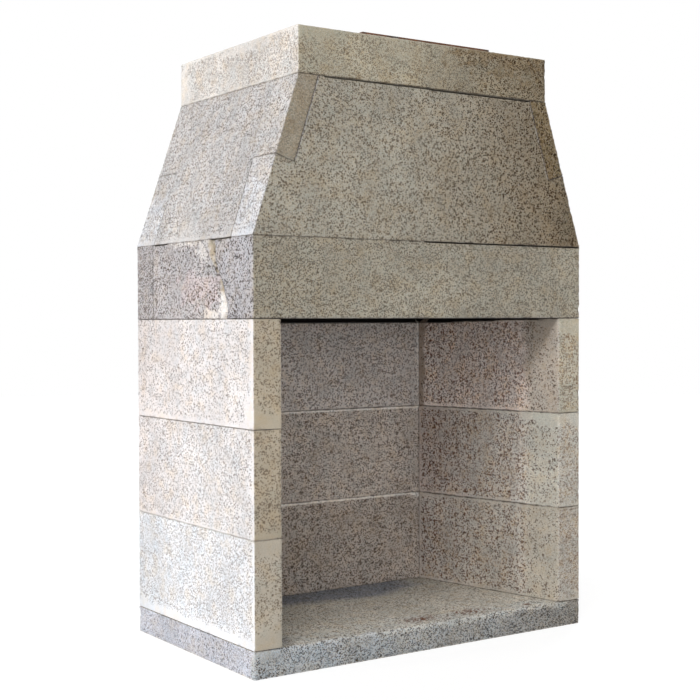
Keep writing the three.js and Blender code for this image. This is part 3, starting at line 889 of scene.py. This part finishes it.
PLAIN_FACE = Face(PLAIN_SIDE, pits=0.8)
CHAMBER_SHADE_FACE = Face(CHAMBER_SHADE, pits=0.6)
BED_FACE = Face(BED, pits=0.6)
WALL_BED_FACE = Face(BED, pits=0.5)
BEDS = ("bottom", "top")


class FireplaceOperator(bpy.types.Operator):
    bl_options = {"REGISTER", "UNDO"}


# The slab's rounded lip: its radius, how much that varies and over what size, and where it ends, as a share
# of the right wall's thickness from the outer side. Over the walls a share of the radius is left.
LIP_RADIUS = 0.010
LIP_LUMPS = 0.35
LIP_LUMP_SIZE = 0.07
LIP_END_SHARE = 0.25
LIP_LEAST_SHARE = 0.2
LIP_SEED = 5


def soft_lip(points):
    """Rounds the slab's top front arris between the walls, more in some places than in others."""
    inner, outer = (corner[0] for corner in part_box("right_wall_lower"))
    reach = outer - (outer - inner) * LIP_END_SHARE
    radius = LIP_RADIUS * (1 + LIP_LUMPS * lumps(points, LIP_LUMP_SIZE, LIP_SEED))
    radius = radius * np.clip((reach - np.abs(points[:, 0])) / LIP_RADIUS, LIP_LEAST_SHARE, 1)
    in_y = radius - (points[:, 1] - points[:, 1].min())
    in_z = radius - (points[:, 2].max() - points[:, 2])
    away = np.hypot(in_y, in_z)
    back = np.where((in_y > 0) & (in_z > 0) & (away > radius), radius / np.maximum(away, MM) - 1, 0)
    rounded = points.copy()
    rounded[:, 1] -= back * in_y
    rounded[:, 2] += back * in_z
    return rounded, None


class FIREPLACE_OT_hearth_slab(FireplaceOperator):
    """Lay the slab that everything stands on"""

    bl_idname = "fireplace.hearth_slab"
    bl_label = "Hearth Slab"

    def execute(self, context):
        faces = {
            "left": Face(SLAB_SIDE, pits=0.75, warmth=0.3, joint=0.15),
            "front": Face(SLAB_FRONT, SLAB_FRONT_FAR, warmth=0.4),
            "right": Face(PLAIN_SIDE),
            "back": Face(PLAIN_SIDE),
            "other": Face(SLAB_TOP, warmth=0.5),
        }
        marks = (
            # Painted shadow at the hearth's back and beside the left wall
            Mark((0.5, 0.80, 1.0), (0.46, 0.155, 0.05), PAINTED_SLAB_SHADOW, 0.0, 0.15, 0.2, facing="top"),
            Mark((0.08, 0.50, 1.0), (0.10, 0.33, 0.05), PAINTED_SLAB_SHADOW, 0.0, 0.15, 0.2, facing="top"),
            # Painted light on the hearth's front strip and painted highlight on the lip
            Mark((0.5, 0.0, 1.0), (0.60, 0.115, 0.019), SLAB_LIP_LIGHT, 0.0, 0.2, 0.1, 0.7),
            Mark((0.12, 0.0, 0.5), (0.25, 0.02, 0.06), SLAB_BLUISH, 0.0, 0.3, 0.1),
            Mark((0.509, 0.087, 1.0), (0.040, 0.017, 0.02), RUST, 0.3, 1.4, 0.010, 1.0, "top"),
            Mark((0.657, 0.080, 1.0), (0.034, 0.017, 0.02), RUST, 0.3, 1.4, 0.010, 1.0, "top"),
            Mark((0.84, 0.050, 1.0), (0.016, 0.009, 0.02), RUST, 0.0),
            Mark((0.02, 0.0, 0.85), (0.05, 0.02, 0.018)),
        )
        slab = Block("hearth_slab", "slab_stone", FINE, faces, ("bottom",), marks, soft_lip)
        lay_block(slab._replace(grid=1.12, wear=1.5, chips=0.9), context)
        return {"FINISHED"}


# The ledge under the smoke chamber: how deep and high it cuts into a wall, how much sooner than at the back
# wall it has its full height, and how high over its foot its painted black shade is full
LEDGE_REACH = 0.022
LEDGE_HEIGHT = 0.015
LEDGE_RISE = 1.15
LEDGE_SHADE_FADE = 2 * MM
# The points of an inner face's ends: how far they lie from the front and the back wall, and their spread
FACE_END = 0.02
FACE_END_SPREAD = 0.01


def smoke_ledge(side):
    """The top inner arris of a wall is cut away under the smoke chamber, with a painted black shade on the
    cut.
    """

    def shape(points):
        low, high = points.min(axis=0), points.max(axis=0)
        if side == "back":
            inward, depth = np.array([0, 1, 0]), points[:, 1] - low[1]
            rise = np.full(len(points), LEDGE_HEIGHT)
        else:
            outward = 1 if side == "right" else -1
            inward = np.array([outward, 0, 0])
            back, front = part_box("back_wall_upper")[0][1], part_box("lintel_beam")[0][1]
            near_x, far_x = inner_face_ends(points, outward)
            share_back = (points[:, 1] - front) / (back - front)
            depth = (points[:, 0] - near_x - (far_x - near_x) * share_back) * outward
            rise = LEDGE_HEIGHT * np.clip(share_back * LEDGE_RISE, 0, 1)
        over = points[:, 2] - (high[2] - rise)
        push = np.clip(over / np.maximum(rise, MM), 0, 1) * LEDGE_REACH - depth
        push = np.where(over > 0, np.maximum(push, 0), 0)
        return points + push[:, None] * inward, np.clip(over / LEDGE_SHADE_FADE, 0, 1) * (depth < LEDGE_REACH)

    return shape


def inner_face_ends(points, outward):
    """Where a side wall's inner face starts at the front and where it ends at the back."""
    lines = points[:, 0] * outward
    front = points[:, 1] < points[:, 1].min() + FACE_END
    to_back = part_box("back_wall_upper")[0][1] - points[:, 1]
    back = np.abs(to_back - FACE_END) < FACE_END_SPREAD
    return lines[front].min() * outward, lines[back].min() * outward


class FIREPLACE_OT_side_walls(FireplaceOperator):
    """Lay the three blocks of each side wall"""

    bl_idname = "fireplace.side_walls"
    bl_label = "Side Walls"

    def execute(self, context):
        inner_strips = Strips(0.011, 0.010, 0.0, 0.011)
        # Painted shade along the back corner of the right wall's upper inner face
        painted_corner_shade = Mark((0.0, 0.80, 0.5), (0.04, 0.026, 0.6), CORNER_SHADE, 0.7, 0.2, 0.05)
        marks = {
            "left_wall_upper": (Mark((0.0, 0.03, 0.05), (0.03, 0.035, 0.08), None, 0.8),),
            "right_wall_upper": (painted_corner_shade, Mark((0.65, 0.0, 1.0), (0.16, 0.10, 0.055))),
            "right_wall_middle": (Mark((0.60, 0.08, 1.0), (0.16, 0.14, 0.045)),),
        }
        for side, inside, ends in (("left", "right", LEFT_ENDS), ("right", "left", RIGHT_ENDS)):
            left = side == "left"
            for course in COURSES:
                node = f"{side}_wall_{course}"
                faces = {
                    side: LEFT_SIDES[course] if left else PLAIN_FACE._replace(strips=Strips(foot=0.010)),
                    inside: Face(*INSIDE_WITH_PAINTED_LIGHT[course], 0.85, inner_strips, warmth=0.75, joint=1.2, far_pits=1.15),
                    "front": ends[course],
                    "back": PLAIN_FACE,
                    "other": WALL_BED_FACE,
                }
                # Painted shade over the front strip of the inner face, where the low sun falls
                sun_strip_shade = Mark((0.5, 0.0, 0.5), (0.60, 0.14, 1.0), SUNLIT_STRIP_SHADE[course], 0.5, 0.05, 0.05, 1.0, inside)
                block = Block(
                    node, "wall_stone", BLEACHED if left else SOOTY, faces, BEDS,
                    (sun_strip_shade, *marks.get(node, ())), smoke_ledge(side) if course == "upper" else None, LEDGE_SHADE,
                    wear=0.6, chips=0.8 if left else 0.4,
                )
                lay_block(block, context)
        return {"FINISHED"}


class FIREPLACE_OT_back_wall(FireplaceOperator):
    """Lay the three blocks of the back wall"""

    bl_idname = "fireplace.back_wall"
    bl_label = "Back Wall"

    def execute(self, context):
        # Painted highlights on the back wall: along the lower courses' top arris and at its right corner, and
        # down the upper course's right end
        top_arris_highlight = Mark((0.5, 0.0, 1.0), (1.0, 0.02, 0.008), EDGE_HIGHLIGHT, 0.3, 0.2, 0.05)
        corner_highlight = Mark((0.925, 0.0, 1.0), (0.022, 0.02, 0.016), EDGE_HIGHLIGHT, 0.6)
        end_highlight = Mark((0.937, 0.0, 0.5), (0.006, 0.02, 0.30), EDGE_HIGHLIGHT, 0.5, 0.2, 0.05)
        for course in COURSES:
            upper = course == "upper"
            faces = {
                "front": Face(BACK[course], None, 0.8 if upper else 0.95, Strips(0.008, 0.004), 0.45),
                "back": PLAIN_FACE,
                "other": WALL_BED_FACE,
            }
            block = Block(
                f"back_wall_{course}", "back_stone", ASHEN, faces, ("bottom",) if upper else BEDS,
                (end_highlight,) if upper else (top_arris_highlight, corner_highlight), smoke_ledge("back") if upper else None,
                LEDGE_SHADE,
            )
            lay_block(block, context)
        return {"FINISHED"}


# Heights above the band's bed and distances from the object's front, along the broken arris of the left
# band block
BREAK_LINE = (
    (0.000, 0.172), (0.020, 0.152), (0.043, 0.168), (0.084, 0.184), (0.128, 0.202), (0.160, 0.226),
    (0.180, 0.250), (0.233, 0.258),
)
BREAK_SLOPE = 0.9
BREAK_LUMPS = 0.004
BREAK_LUMP_SIZE = 0.02
BREAK_SEED = 3
BREAK_FADE = 3 * MM
# Stretches where a bed joint stands open: measured from the object's left end on its front, and from its
# front on its left side, with the depth of the opening
OPEN_UNDER_DOME = (
    ("front", 0.60, 1.235, 0.0045),
    ("left", 0.123, 0.250, 0.0035),
    ("left", 0.522, 0.612, 0.0035),
)
OPEN_UNDER_COLLAR = (("front", 0.24, 0.62, 0.0040), ("front", 0.62, 1.02, 0.0055))
OPEN_JOINT_REACH = 0.035


def open_joint(points, stretches=OPEN_UNDER_DOME):
    """Lowers a block's top outer arris where the joint above it stands open."""
    lowered = points.copy()
    top = points[:, 2].max()
    for way, start, end, depth in stretches:
        along, across = (0, 1) if way == "front" else (1, 0)
        place = points[:, along] - cad_low[along]
        sunk = (place > start) & (place < end) & (points[:, across] < cad_low[across] + OPEN_JOINT_REACH)
        lowered[sunk, 2] = np.minimum(lowered[sunk, 2], top - depth)
    return lowered, None


def break_arris(points):
    """Breaks off the front outer arris of the left band block along its crooked line."""
    points, _ = open_joint(points)
    low = points.min(axis=0)
    heights, edges = zip(*BREAK_LINE)
    edge = cad_low[1] + np.interp(points[:, 2] - low[2], heights, edges)
    depth = edge - points[:, 1] + BREAK_LUMPS * lumps(points, BREAK_LUMP_SIZE, BREAK_SEED)
    broken = low[0] + BREAK_SLOPE * np.maximum(depth, 0)
    cut = np.maximum(broken - points[:, 0], 0) * (depth > 0)
    moved = points.copy()
    moved[:, 0] += cut
    return moved, np.clip(cut / BREAK_FADE, 0, 1)


class FIREPLACE_OT_band_course(FireplaceOperator):
    """Lay the lintel, the rear beam and the two blocks between them"""

    bl_idname = "fireplace.band_course"
    bl_label = "Band Course"

    def execute(self, context):
        beam_faces = {
            "left": Face(LINTEL_END, pits=1.25, warmth=0.25, joint=0.6),
            "right": Face(PLAIN_SIDE, pits=0.9),
            "front": Face(LINTEL_FRONT, pits=0.75, warmth=0.5),
            "back": CHAMBER_SHADE_FACE,
            "bottom": CHAMBER_SHADE_FACE,
            "other": BED_FACE,
        }
        rear_faces = {
            **beam_faces,
            "left": Face(REAR_SIDE, warmth=0.4, joint=0.1),
            "front": CHAMBER_SHADE_FACE,
            "back": PLAIN_FACE,
        }
        side_faces = {
            "left": Face(BAND_SIDE, warmth=0.4, joint=0.1),
            "bottom": Face(CHAMBER_SHADE),
            "other": BED_FACE,
        }
        marks = (
            Mark((0.0, 0.35, 0.38), (0.04, 0.11, 0.050), PINKISH, 0.0, 0.6, 0.05),
            Mark((0.0, 0.20, 0.045), (0.05, 0.065, 0.016), CREAM, 0.9, 0.5, 0.02, 0.7),
            Mark((0.0, 0.045, 0.13), (0.06, 0.026, 0.042), CREAM, 1.0, 0.4, 0.02, 0.9),
            Mark((0.0, 0.315, 0.88), (0.04, 0.036, 0.040), CREAM, 0.9, 0.5, 0.02, 0.6),
            Mark((0.0, 0.55, 0.97), (0.04, 0.090, 0.008), CREAM, 0.4, 0.6, None, 0.7),
            Mark((0.10, 0.165, 0.85), (0.06, 0.015, 0.020), CAVITY, 0.9, 0.6, 0.012),
            Mark((0.10, 0.140, 0.74), (0.06, 0.013, 0.020), CAVITY, 0.9, 0.6, 0.012),
            Mark((0.10, 0.100, 0.62), (0.06, 0.011, 0.018), CAVITY, 0.9, 0.8, 0.012),
        )
        for block in (
            Block("lintel_beam", "band_stone", COARSE, beam_faces, ("top",), shape=open_joint, chips=0.6),
            Block("rear_beam", "band_stone", COARSE, rear_faces, ("top",)),
            Block("left_band_block", "band_stone", COARSE, side_faces, BEDS, marks, break_arris, BROKEN),
            Block("right_band_block", "band_stone", COARSE, {**side_faces, "left": CHAMBER_SHADE_FACE}, BEDS),
        ):
            lay_block(block, context)
        return {"FINISHED"}


class FIREPLACE_OT_smoke_dome(FireplaceOperator):
    """Stand the four panels of the smoke dome"""

    bl_idname = "fireplace.smoke_dome"
    bl_label = "Smoke Dome"

    def execute(self, context):
        outside = {
            "left": Face(DOME_SIDE, pits=0.82, strips=Strips(foot=0.012), warmth=0.5, joint=0.8),
            "right": PLAIN_FACE,
            "front": Face(DOME_FRONT, DOME_FRONT_FAR, 0.76, warmth=0.7, far_pits=1.2),
            "back": PLAIN_FACE,
        }
        tabs = {
            "front": {"left": Face(DOME_SIDE_TAB, None, 0.75, Strips(foot=0.014), 0.4, 0.8)},
            "left": {"front": Face(DOME_LEFT_TAB, pits=0.3)},
            "right": {"front": Face(DOME_RIGHT_TAB, joint=1.6)},
        }
        tabs["back"] = tabs["front"]
        tab_head = Mark((0.1, 0.5, 0.50), (0.40, 0.60, 0.085), DOME_SIDE, 0.0, 0.3, 0.06, 0.9, "left")
        pale_places = (
            Mark((0.0, 0.62, 0.03), (0.30, 0.14, 0.040), DOME_SIDE_PALE, 0.3, 0.3, 0.06, 0.8, "left"),
            Mark((0.5, 0.12, 0.72), (0.40, 0.05, 0.150), DOME_SIDE_PALE, 0.0, 0.3, 0.08, 0.7, "left"),
        )
        marks = {"front": (tab_head,), "back": (tab_head,), "left": pale_places, "right": ()}
        for side, inner in (("front", "back"), ("back", "front"), ("left", "right"), ("right", "left")):
            faces = {**outside, inner: CHAMBER_SHADE_FACE, "other": BED_FACE, **tabs[side]}
            shape = partial(open_joint, stretches=OPEN_UNDER_COLLAR) if side == "front" else None
            block = Block(
                f"dome_{side}_panel", "dome_stone", COARSE, faces, BEDS, marks[side], shape, chips=0.4
            )
            lay_block(block, context)
        return {"FINISHED"}


class FIREPLACE_OT_flue_collar(FireplaceOperator):
    """Lay the thick slab that closes the dome"""

    bl_idname = "fireplace.flue_collar"
    bl_label = "Flue Collar"

    def execute(self, context):
        faces = {
            "left": Face(COLLAR_SIDE, pits=0.6, strips=Strips(0.009, 0.008), warmth=0.7, joint=0.6),
            "right": PLAIN_FACE,
            "front": Face(COLLAR_FRONT, COLLAR_FRONT_FAR, 0.65, Strips(head=0.006), 0.8, far_pits=1.2),
            "back": PLAIN_FACE,
            "top": PLAIN_FACE,
            "other": BED_FACE,
        }
        marks = (
            Mark((0.85, 0.0, 0.82), (0.16, 0.03, 0.040), OCHRE_STAIN, 0.0, 0.8, 0.03, 0.6, "front"),
            Mark((0.70, 0.0, 0.97), (0.13, 0.03, 0.018), OCHRE_STAIN, 0.0, 0.6, 0.03, 0.35, "front"),
            Mark((0.06, 0.0, 0.86), (0.10, 0.03, 0.024), None, 0.8),
            Mark((0.0, 0.42, 0.88), (0.03, 0.15, 0.020), None, 0.7),
            Mark((0.0, 0.96, 0.35), (0.03, 0.060, 0.070), None, 0.75),
        )
        lay_block(Block("flue_collar", "dome_stone", COARSE, faces, ("bottom",), marks, chips=0.4), context)
        return {"FINISHED"}


# Steel of the damper

# A steel: the colours of its scale and its rust, the level of the pattern from which it rusts, the roughness
# of its scale, and the size of its rusty patches
Steel = namedtuple("Steel", "scale rust rust_from roughness patch_size")
RUSTY_PLATE = Steel((0.10, 0.085, 0.08), (0.17, 0.075, 0.04), 0.36, 0.6, 0.05)
DARK_SCALE = Steel((0.07, 0.066, 0.064), (0.15, 0.07, 0.04), 0.56, 0.5, 0.03)
DULL_ZINC = Steel((0.36, 0.35, 0.33), (0.2, 0.11, 0.06), 0.62, 0.42, 0.012)
RUST_FADE = 0.12
RUST_ROUGHNESS = 0.92
GRIT_SIZE = 0.0022
GRIT_DEPTH = 0.0004
SHADE_SIZE = 0.012


def steel_material(name, steel):
    """Rolled steel under rust: rust spreads in patches, with grit in its bump."""
    made, tree, surface = material(name)
    place = put(tree, "ShaderNodeTexCoord", output="Object")
    rust = ramp(tree, noise(tree, place, steel.patch_size, 4.0), steel.rust_from, steel.rust_from + RUST_FADE)
    grit = noise(tree, place, GRIT_SIZE, 3.0)
    shade = ramp(tree, noise(tree, place, SHADE_SIZE, 3.0), 0.3, 0.75, 0.65, 1.25)
    grey = put(tree, "ShaderNodeCombineColor", {"Red": shade, "Green": shade, "Blue": shade})
    rusty, plain = (mixed(tree, 1.0, tone, grey, "MULTIPLY") for tone in (steel.rust, steel.scale))
    bumpy_surface(
        tree,
        surface,
        {"Strength": 0.5, "Distance": GRIT_DEPTH, "Height": product(tree, grit, shade)},
        {
            "Base Color": mixed(tree, rust, plain, rusty),
            "Metallic": ramp(tree, rust, 0.2, 0.8, 0.75, 0.0),
            "Roughness": ramp(tree, rust, 0.0, 1.0, steel.roughness, RUST_ROUGHNESS),
        },
    )
    return made


# Numbers of the sockets of a random value that share their names with others
RANDOM_MAX = 3
RANDOM_FLOAT = 1
# Angles from which an edge of a steel piece is broken, and from which one is drawn sharp
BEVEL_FROM = math.radians(35)
STEEL_SHARP_FROM = math.radians(28)
PLATE_BEVEL = 0.0006
FLAP_BEVEL = 0.0005
FASTENER_BEVEL = 0.0003


def break_edges(piece, bevel):
    """Breaks the sharp edges of a steel piece."""
    edge = piece.modifiers.new("edge", "BEVEL")
    edge.width = bevel
    edge.segments = 2
    edge.limit_method = "ANGLE"
    edge.angle_limit = BEVEL_FROM
    mesh = applied(piece)
    mesh.polygons.foreach_set("use_smooth", [True] * len(mesh.polygons))
    mesh.set_sharp_from_angle(angle=STEEL_SHARP_FROM)


def steel_piece(node, finish, body, bevel):
    """A CAD solid of steel with its edges broken."""
    piece = link(merged_copy(node), f"{node}_steel")
    piece.data.materials.clear()
    piece.data.materials.append(finish)
    break_edges(piece, bevel)
    place_piece(piece, body, [node])


def fastener_tree():
    """Nodes that set a copy of one fastener on every point, each turned by chance."""
    kinds = {"Fastener": "Object", "Turn": "Float", "Seed": "Int", "Material": "Material"}
    tree, given = nodes_group("fastener_set", kinds)
    one = put(tree, "GeometryNodeObjectInfo", {"Object": given["Fastener"]}, output="Geometry")
    spread = {RANDOM_MAX: given["Turn"], "Seed": given["Seed"]}
    about_z = put(tree, "FunctionNodeRandomValue", spread, output=RANDOM_FLOAT, data_type="FLOAT")
    about_z = put(tree, "ShaderNodeCombineXYZ", {"Z": about_z})
    points = put(tree, "GeometryNodeMeshToPoints", {"Mesh": given["Geometry"]})
    rows = {"Points": points, "Instance": one, "Rotation": about_z}
    rows = put(tree, "GeometryNodeInstanceOnPoints", rows)
    finish_group(tree, rows, given["Material"])
    return tree


def middle_of(node):
    """Where a fastener's upright axis stands."""
    low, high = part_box(node)
    return Vector(((low[0] + high[0]) / 2, (low[1] + high[1]) / 2, 0.0))


def set_fasteners(kind, body, context):
    """Puts the four like fasteners of one kind in their places, as one piece."""
    name = f"{kind}s"
    nodes = [f"{kind}_{side}_{end}" for side in SIDES for end in ("front", "back")]
    pattern = link(merged_copy(nodes[0]), f"{kind}_pattern")
    pattern.data.transform(Matrix.Translation(-middle_of(nodes[0])))
    break_edges(pattern, FASTENER_BEVEL)
    places = bpy.data.meshes.new(name)
    places.from_pydata([middle_of(node) for node in nodes], [], [])
    piece = link(places, name)
    rows = piece.modifiers.new("rows", "NODES")
    rows.node_group = bpy.data.node_groups.get("fastener_set") or fastener_tree()
    set_inputs(rows, {
        "Fastener": pattern,
        "Turn": math.tau,
        "Seed": context.scene.fireplace_skin.seed,
        "Material": bpy.data.materials["dull_zinc"],
    })
    applied(piece)
    bpy.data.objects.remove(pattern)
    place_piece(piece, body, nodes)


class FIREPLACE_OT_damper_plate(FireplaceOperator):
    """Bed the rusty plate on the collar, with the brackets under it"""

    bl_idname = "fireplace.damper_plate"
    bl_label = "Damper Plate"

    def execute(self, context):
        rusty = steel_material("rusty_plate", RUSTY_PLATE)
        dark = steel_material("dark_scale", DARK_SCALE)
        steel_material("dull_zinc", DULL_ZINC)
        steel_piece("damper_plate", rusty, "hearth", PLATE_BEVEL)
        for side in SIDES:
            steel_piece(f"{side}_bearing_bracket", dark, "hearth", PLATE_BEVEL)
        for kind in ("bracket_bolt", "bracket_nut"):
            set_fasteners(kind, "hearth", context)
        return {"FINISHED"}


class FIREPLACE_OT_damper_flap(FireplaceOperator):
    """Hang the flap on its spindle, with the straps, rivets and lug"""

    bl_idname = "fireplace.damper_flap"
    bl_label = "Damper Flap"

    def execute(self, context):
        dark = bpy.data.materials["dark_scale"]
        straps = (f"{side}_spindle_strap" for side in SIDES)
        for node in ("damper_flap", *straps, "pull_lug", "damper_spindle"):
            steel_piece(node, dark, "flap", FLAP_BEVEL)
        set_fasteners("strap_rivet", "flap", context)
        return {"FINISHED"}


class FIREPLACE_OT_pull_rod(FireplaceOperator):
    """Hang the pull rod from the flap's lug"""

    bl_idname = "fireplace.pull_rod"
    bl_label = "Pull Rod"

    def execute(self, context):
        dark, zinc = bpy.data.materials["dark_scale"], bpy.data.materials["dull_zinc"]
        steel_piece("pull_rod", dark, "pull_rod", FLAP_BEVEL)
        steel_piece("pull_rod_pin", zinc, "pull_rod", FASTENER_BEVEL)
        return {"FINISHED"}


# Stage

# The lamps by the first word of their settings
LAMPS = {
    "side": "side_lamp",
    "sun": "low_sun",
    "front": "front_lamp",
    "room": "room_lamp",
    "rear": "rear_lamp",
}
FLOOR_CORNERS = 96
# How far the floor lies under the object
FLOOR_GAP = 0.0002


def make_camera(stage):
    camera = bpy.data.cameras.new("view")
    camera.lens = stage.lens
    camera.sensor_width = stage.sensor
    seen = link(camera, "view")
    turned = Matrix.Rotation(-stage.yaw, 4, "Z")
    tilted = Matrix.Rotation(math.pi / 2 + stage.pitch, 4, "X")
    rolled = Matrix.Rotation(stage.roll, 4, "Z")
    seen.matrix_world = Matrix.Translation(stage.eye) @ turned @ tilted @ rolled
    bpy.context.scene.camera = seen


def make_lamp(name, way, strength, softness):
    """A wide distant lamp. At level 1 a face square to it renders in its own colour."""
    lamp = bpy.data.lights.new(name, "SUN")
    lamp.energy = strength * math.pi
    lamp.angle = softness
    link(lamp, name).rotation_euler = Vector(way).to_track_quat("-Z", "Y").to_euler()


def seen_directly(tree):
    """1 for rays from the camera, off gloss or through glass."""
    rays = tree.nodes.new("ShaderNodeLightPath").outputs
    seen = maths(tree, "MAXIMUM", rays["Is Camera Ray"], rays["Is Glossy Ray"])
    return maths(tree, "MAXIMUM", seen, rays["Is Transmission Ray"])


def make_sky(stage):
    world = bpy.data.worlds.new("sky")
    bpy.context.scene.world = world
    tree = empty_tree(world)
    even = put(tree, "ShaderNodeBackground", {"Color": (*stage.sky_colour, 1), "Strength": stage.sky})
    white = put(tree, "ShaderNodeBackground", {"Color": (1, 1, 1, 1), "Strength": 1.0})
    shown = put(tree, "ShaderNodeMixShader", {0: seen_directly(tree), 1: even, 2: white})
    tree.links.new(shown, tree.nodes.new("ShaderNodeOutputWorld").inputs["Surface"])


def make_floor(stage):
    shape = bmesh.new()
    bmesh.ops.create_circle(shape, cap_ends=True, radius=stage.floor_radius, segments=FLOOR_CORNERS)
    mesh = bpy.data.meshes.new("floor")
    shape.to_mesh(mesh)
    shape.free()
    mesh.transform(Matrix.Translation((0, 0, cad_box[0].z - FLOOR_GAP)))
    floor = link(mesh, "floor")
    made, tree, surface = material("pale_floor")
    plain = put(tree, "ShaderNodeBsdfDiffuse", {"Color": (*stage.floor_colour, 1)})
    faint = tuple(channel * stage.floor_shade for channel in stage.floor_colour)
    shaded = put(tree, "ShaderNodeBsdfDiffuse", {"Color": (*faint, 1)})
    glow = put(tree, "ShaderNodeEmission", {"Color": (1, 1, 1, 1), "Strength": stage.floor_glow})
    shown = put(tree, "ShaderNodeAddShader", {0: shaded, 1: glow})
    tree.links.new(put(tree, "ShaderNodeMixShader", {0: seen_directly(tree), 1: plain, 2: shown}), surface)
    mesh.materials.append(made)


class FIREPLACE_OT_stage(FireplaceOperator):
    """Set the camera, the lamps, the sky and the floor"""

    bl_idname = "fireplace.stage"
    bl_label = "Stage"

    def execute(self, context):
        stage = context.scene.fireplace_stage
        make_camera(stage)
        for label, name in LAMPS.items():
            way, strength = getattr(stage, f"{label}_heading"), getattr(stage, f"{label}_level")
            make_lamp(name, way, strength, getattr(stage, f"{label}_softness"))
        make_sky(stage)
        make_floor(stage)
        context.scene.view_settings.view_transform = "Standard"
        return {"FINISHED"}


STEPS = (
    FIREPLACE_OT_hearth_slab,
    FIREPLACE_OT_side_walls,
    FIREPLACE_OT_back_wall,
    FIREPLACE_OT_band_course,
    FIREPLACE_OT_smoke_dome,
    FIREPLACE_OT_flue_collar,
    FIREPLACE_OT_damper_plate,
    FIREPLACE_OT_damper_flap,
    FIREPLACE_OT_pull_rod,
    FIREPLACE_OT_stage,
)


class FIREPLACE_PT_steps(bpy.types.Panel):
    """The steps that build the fireplace, in order"""

    bl_idname = "FIREPLACE_PT_steps"
    bl_label = "Fireplace"
    bl_space_type = "VIEW_3D"
    bl_region_type = "UI"
    bl_category = "Fireplace"

    def draw(self, context):
        for settings in (context.scene.fireplace_skin, context.scene.fireplace_stage):
            box = self.layout.box()
            for name in settings.__annotations__:
                box.prop(settings, name)
        for step in STEPS:
            self.layout.operator(step.bl_idname)


CLASSES = (FIREPLACE_PG_skin, FIREPLACE_PG_stage, *STEPS, FIREPLACE_PT_steps)


def register():
    for item in CLASSES:
        bpy.utils.register_class(item)
    bpy.types.Scene.fireplace_skin = PointerProperty(type=FIREPLACE_PG_skin)
    bpy.types.Scene.fireplace_stage = PointerProperty(type=FIREPLACE_PG_stage)


def unregister():
    del bpy.types.Scene.fireplace_stage
    del bpy.types.Scene.fireplace_skin
    for item in reversed(CLASSES):
        bpy.utils.unregister_class(item)


def main():
    register()
    for step in STEPS:
        family, name = step.bl_idname.split(".")
        getattr(getattr(bpy.ops, family), name)()


if __name__ == "__main__":
    main()
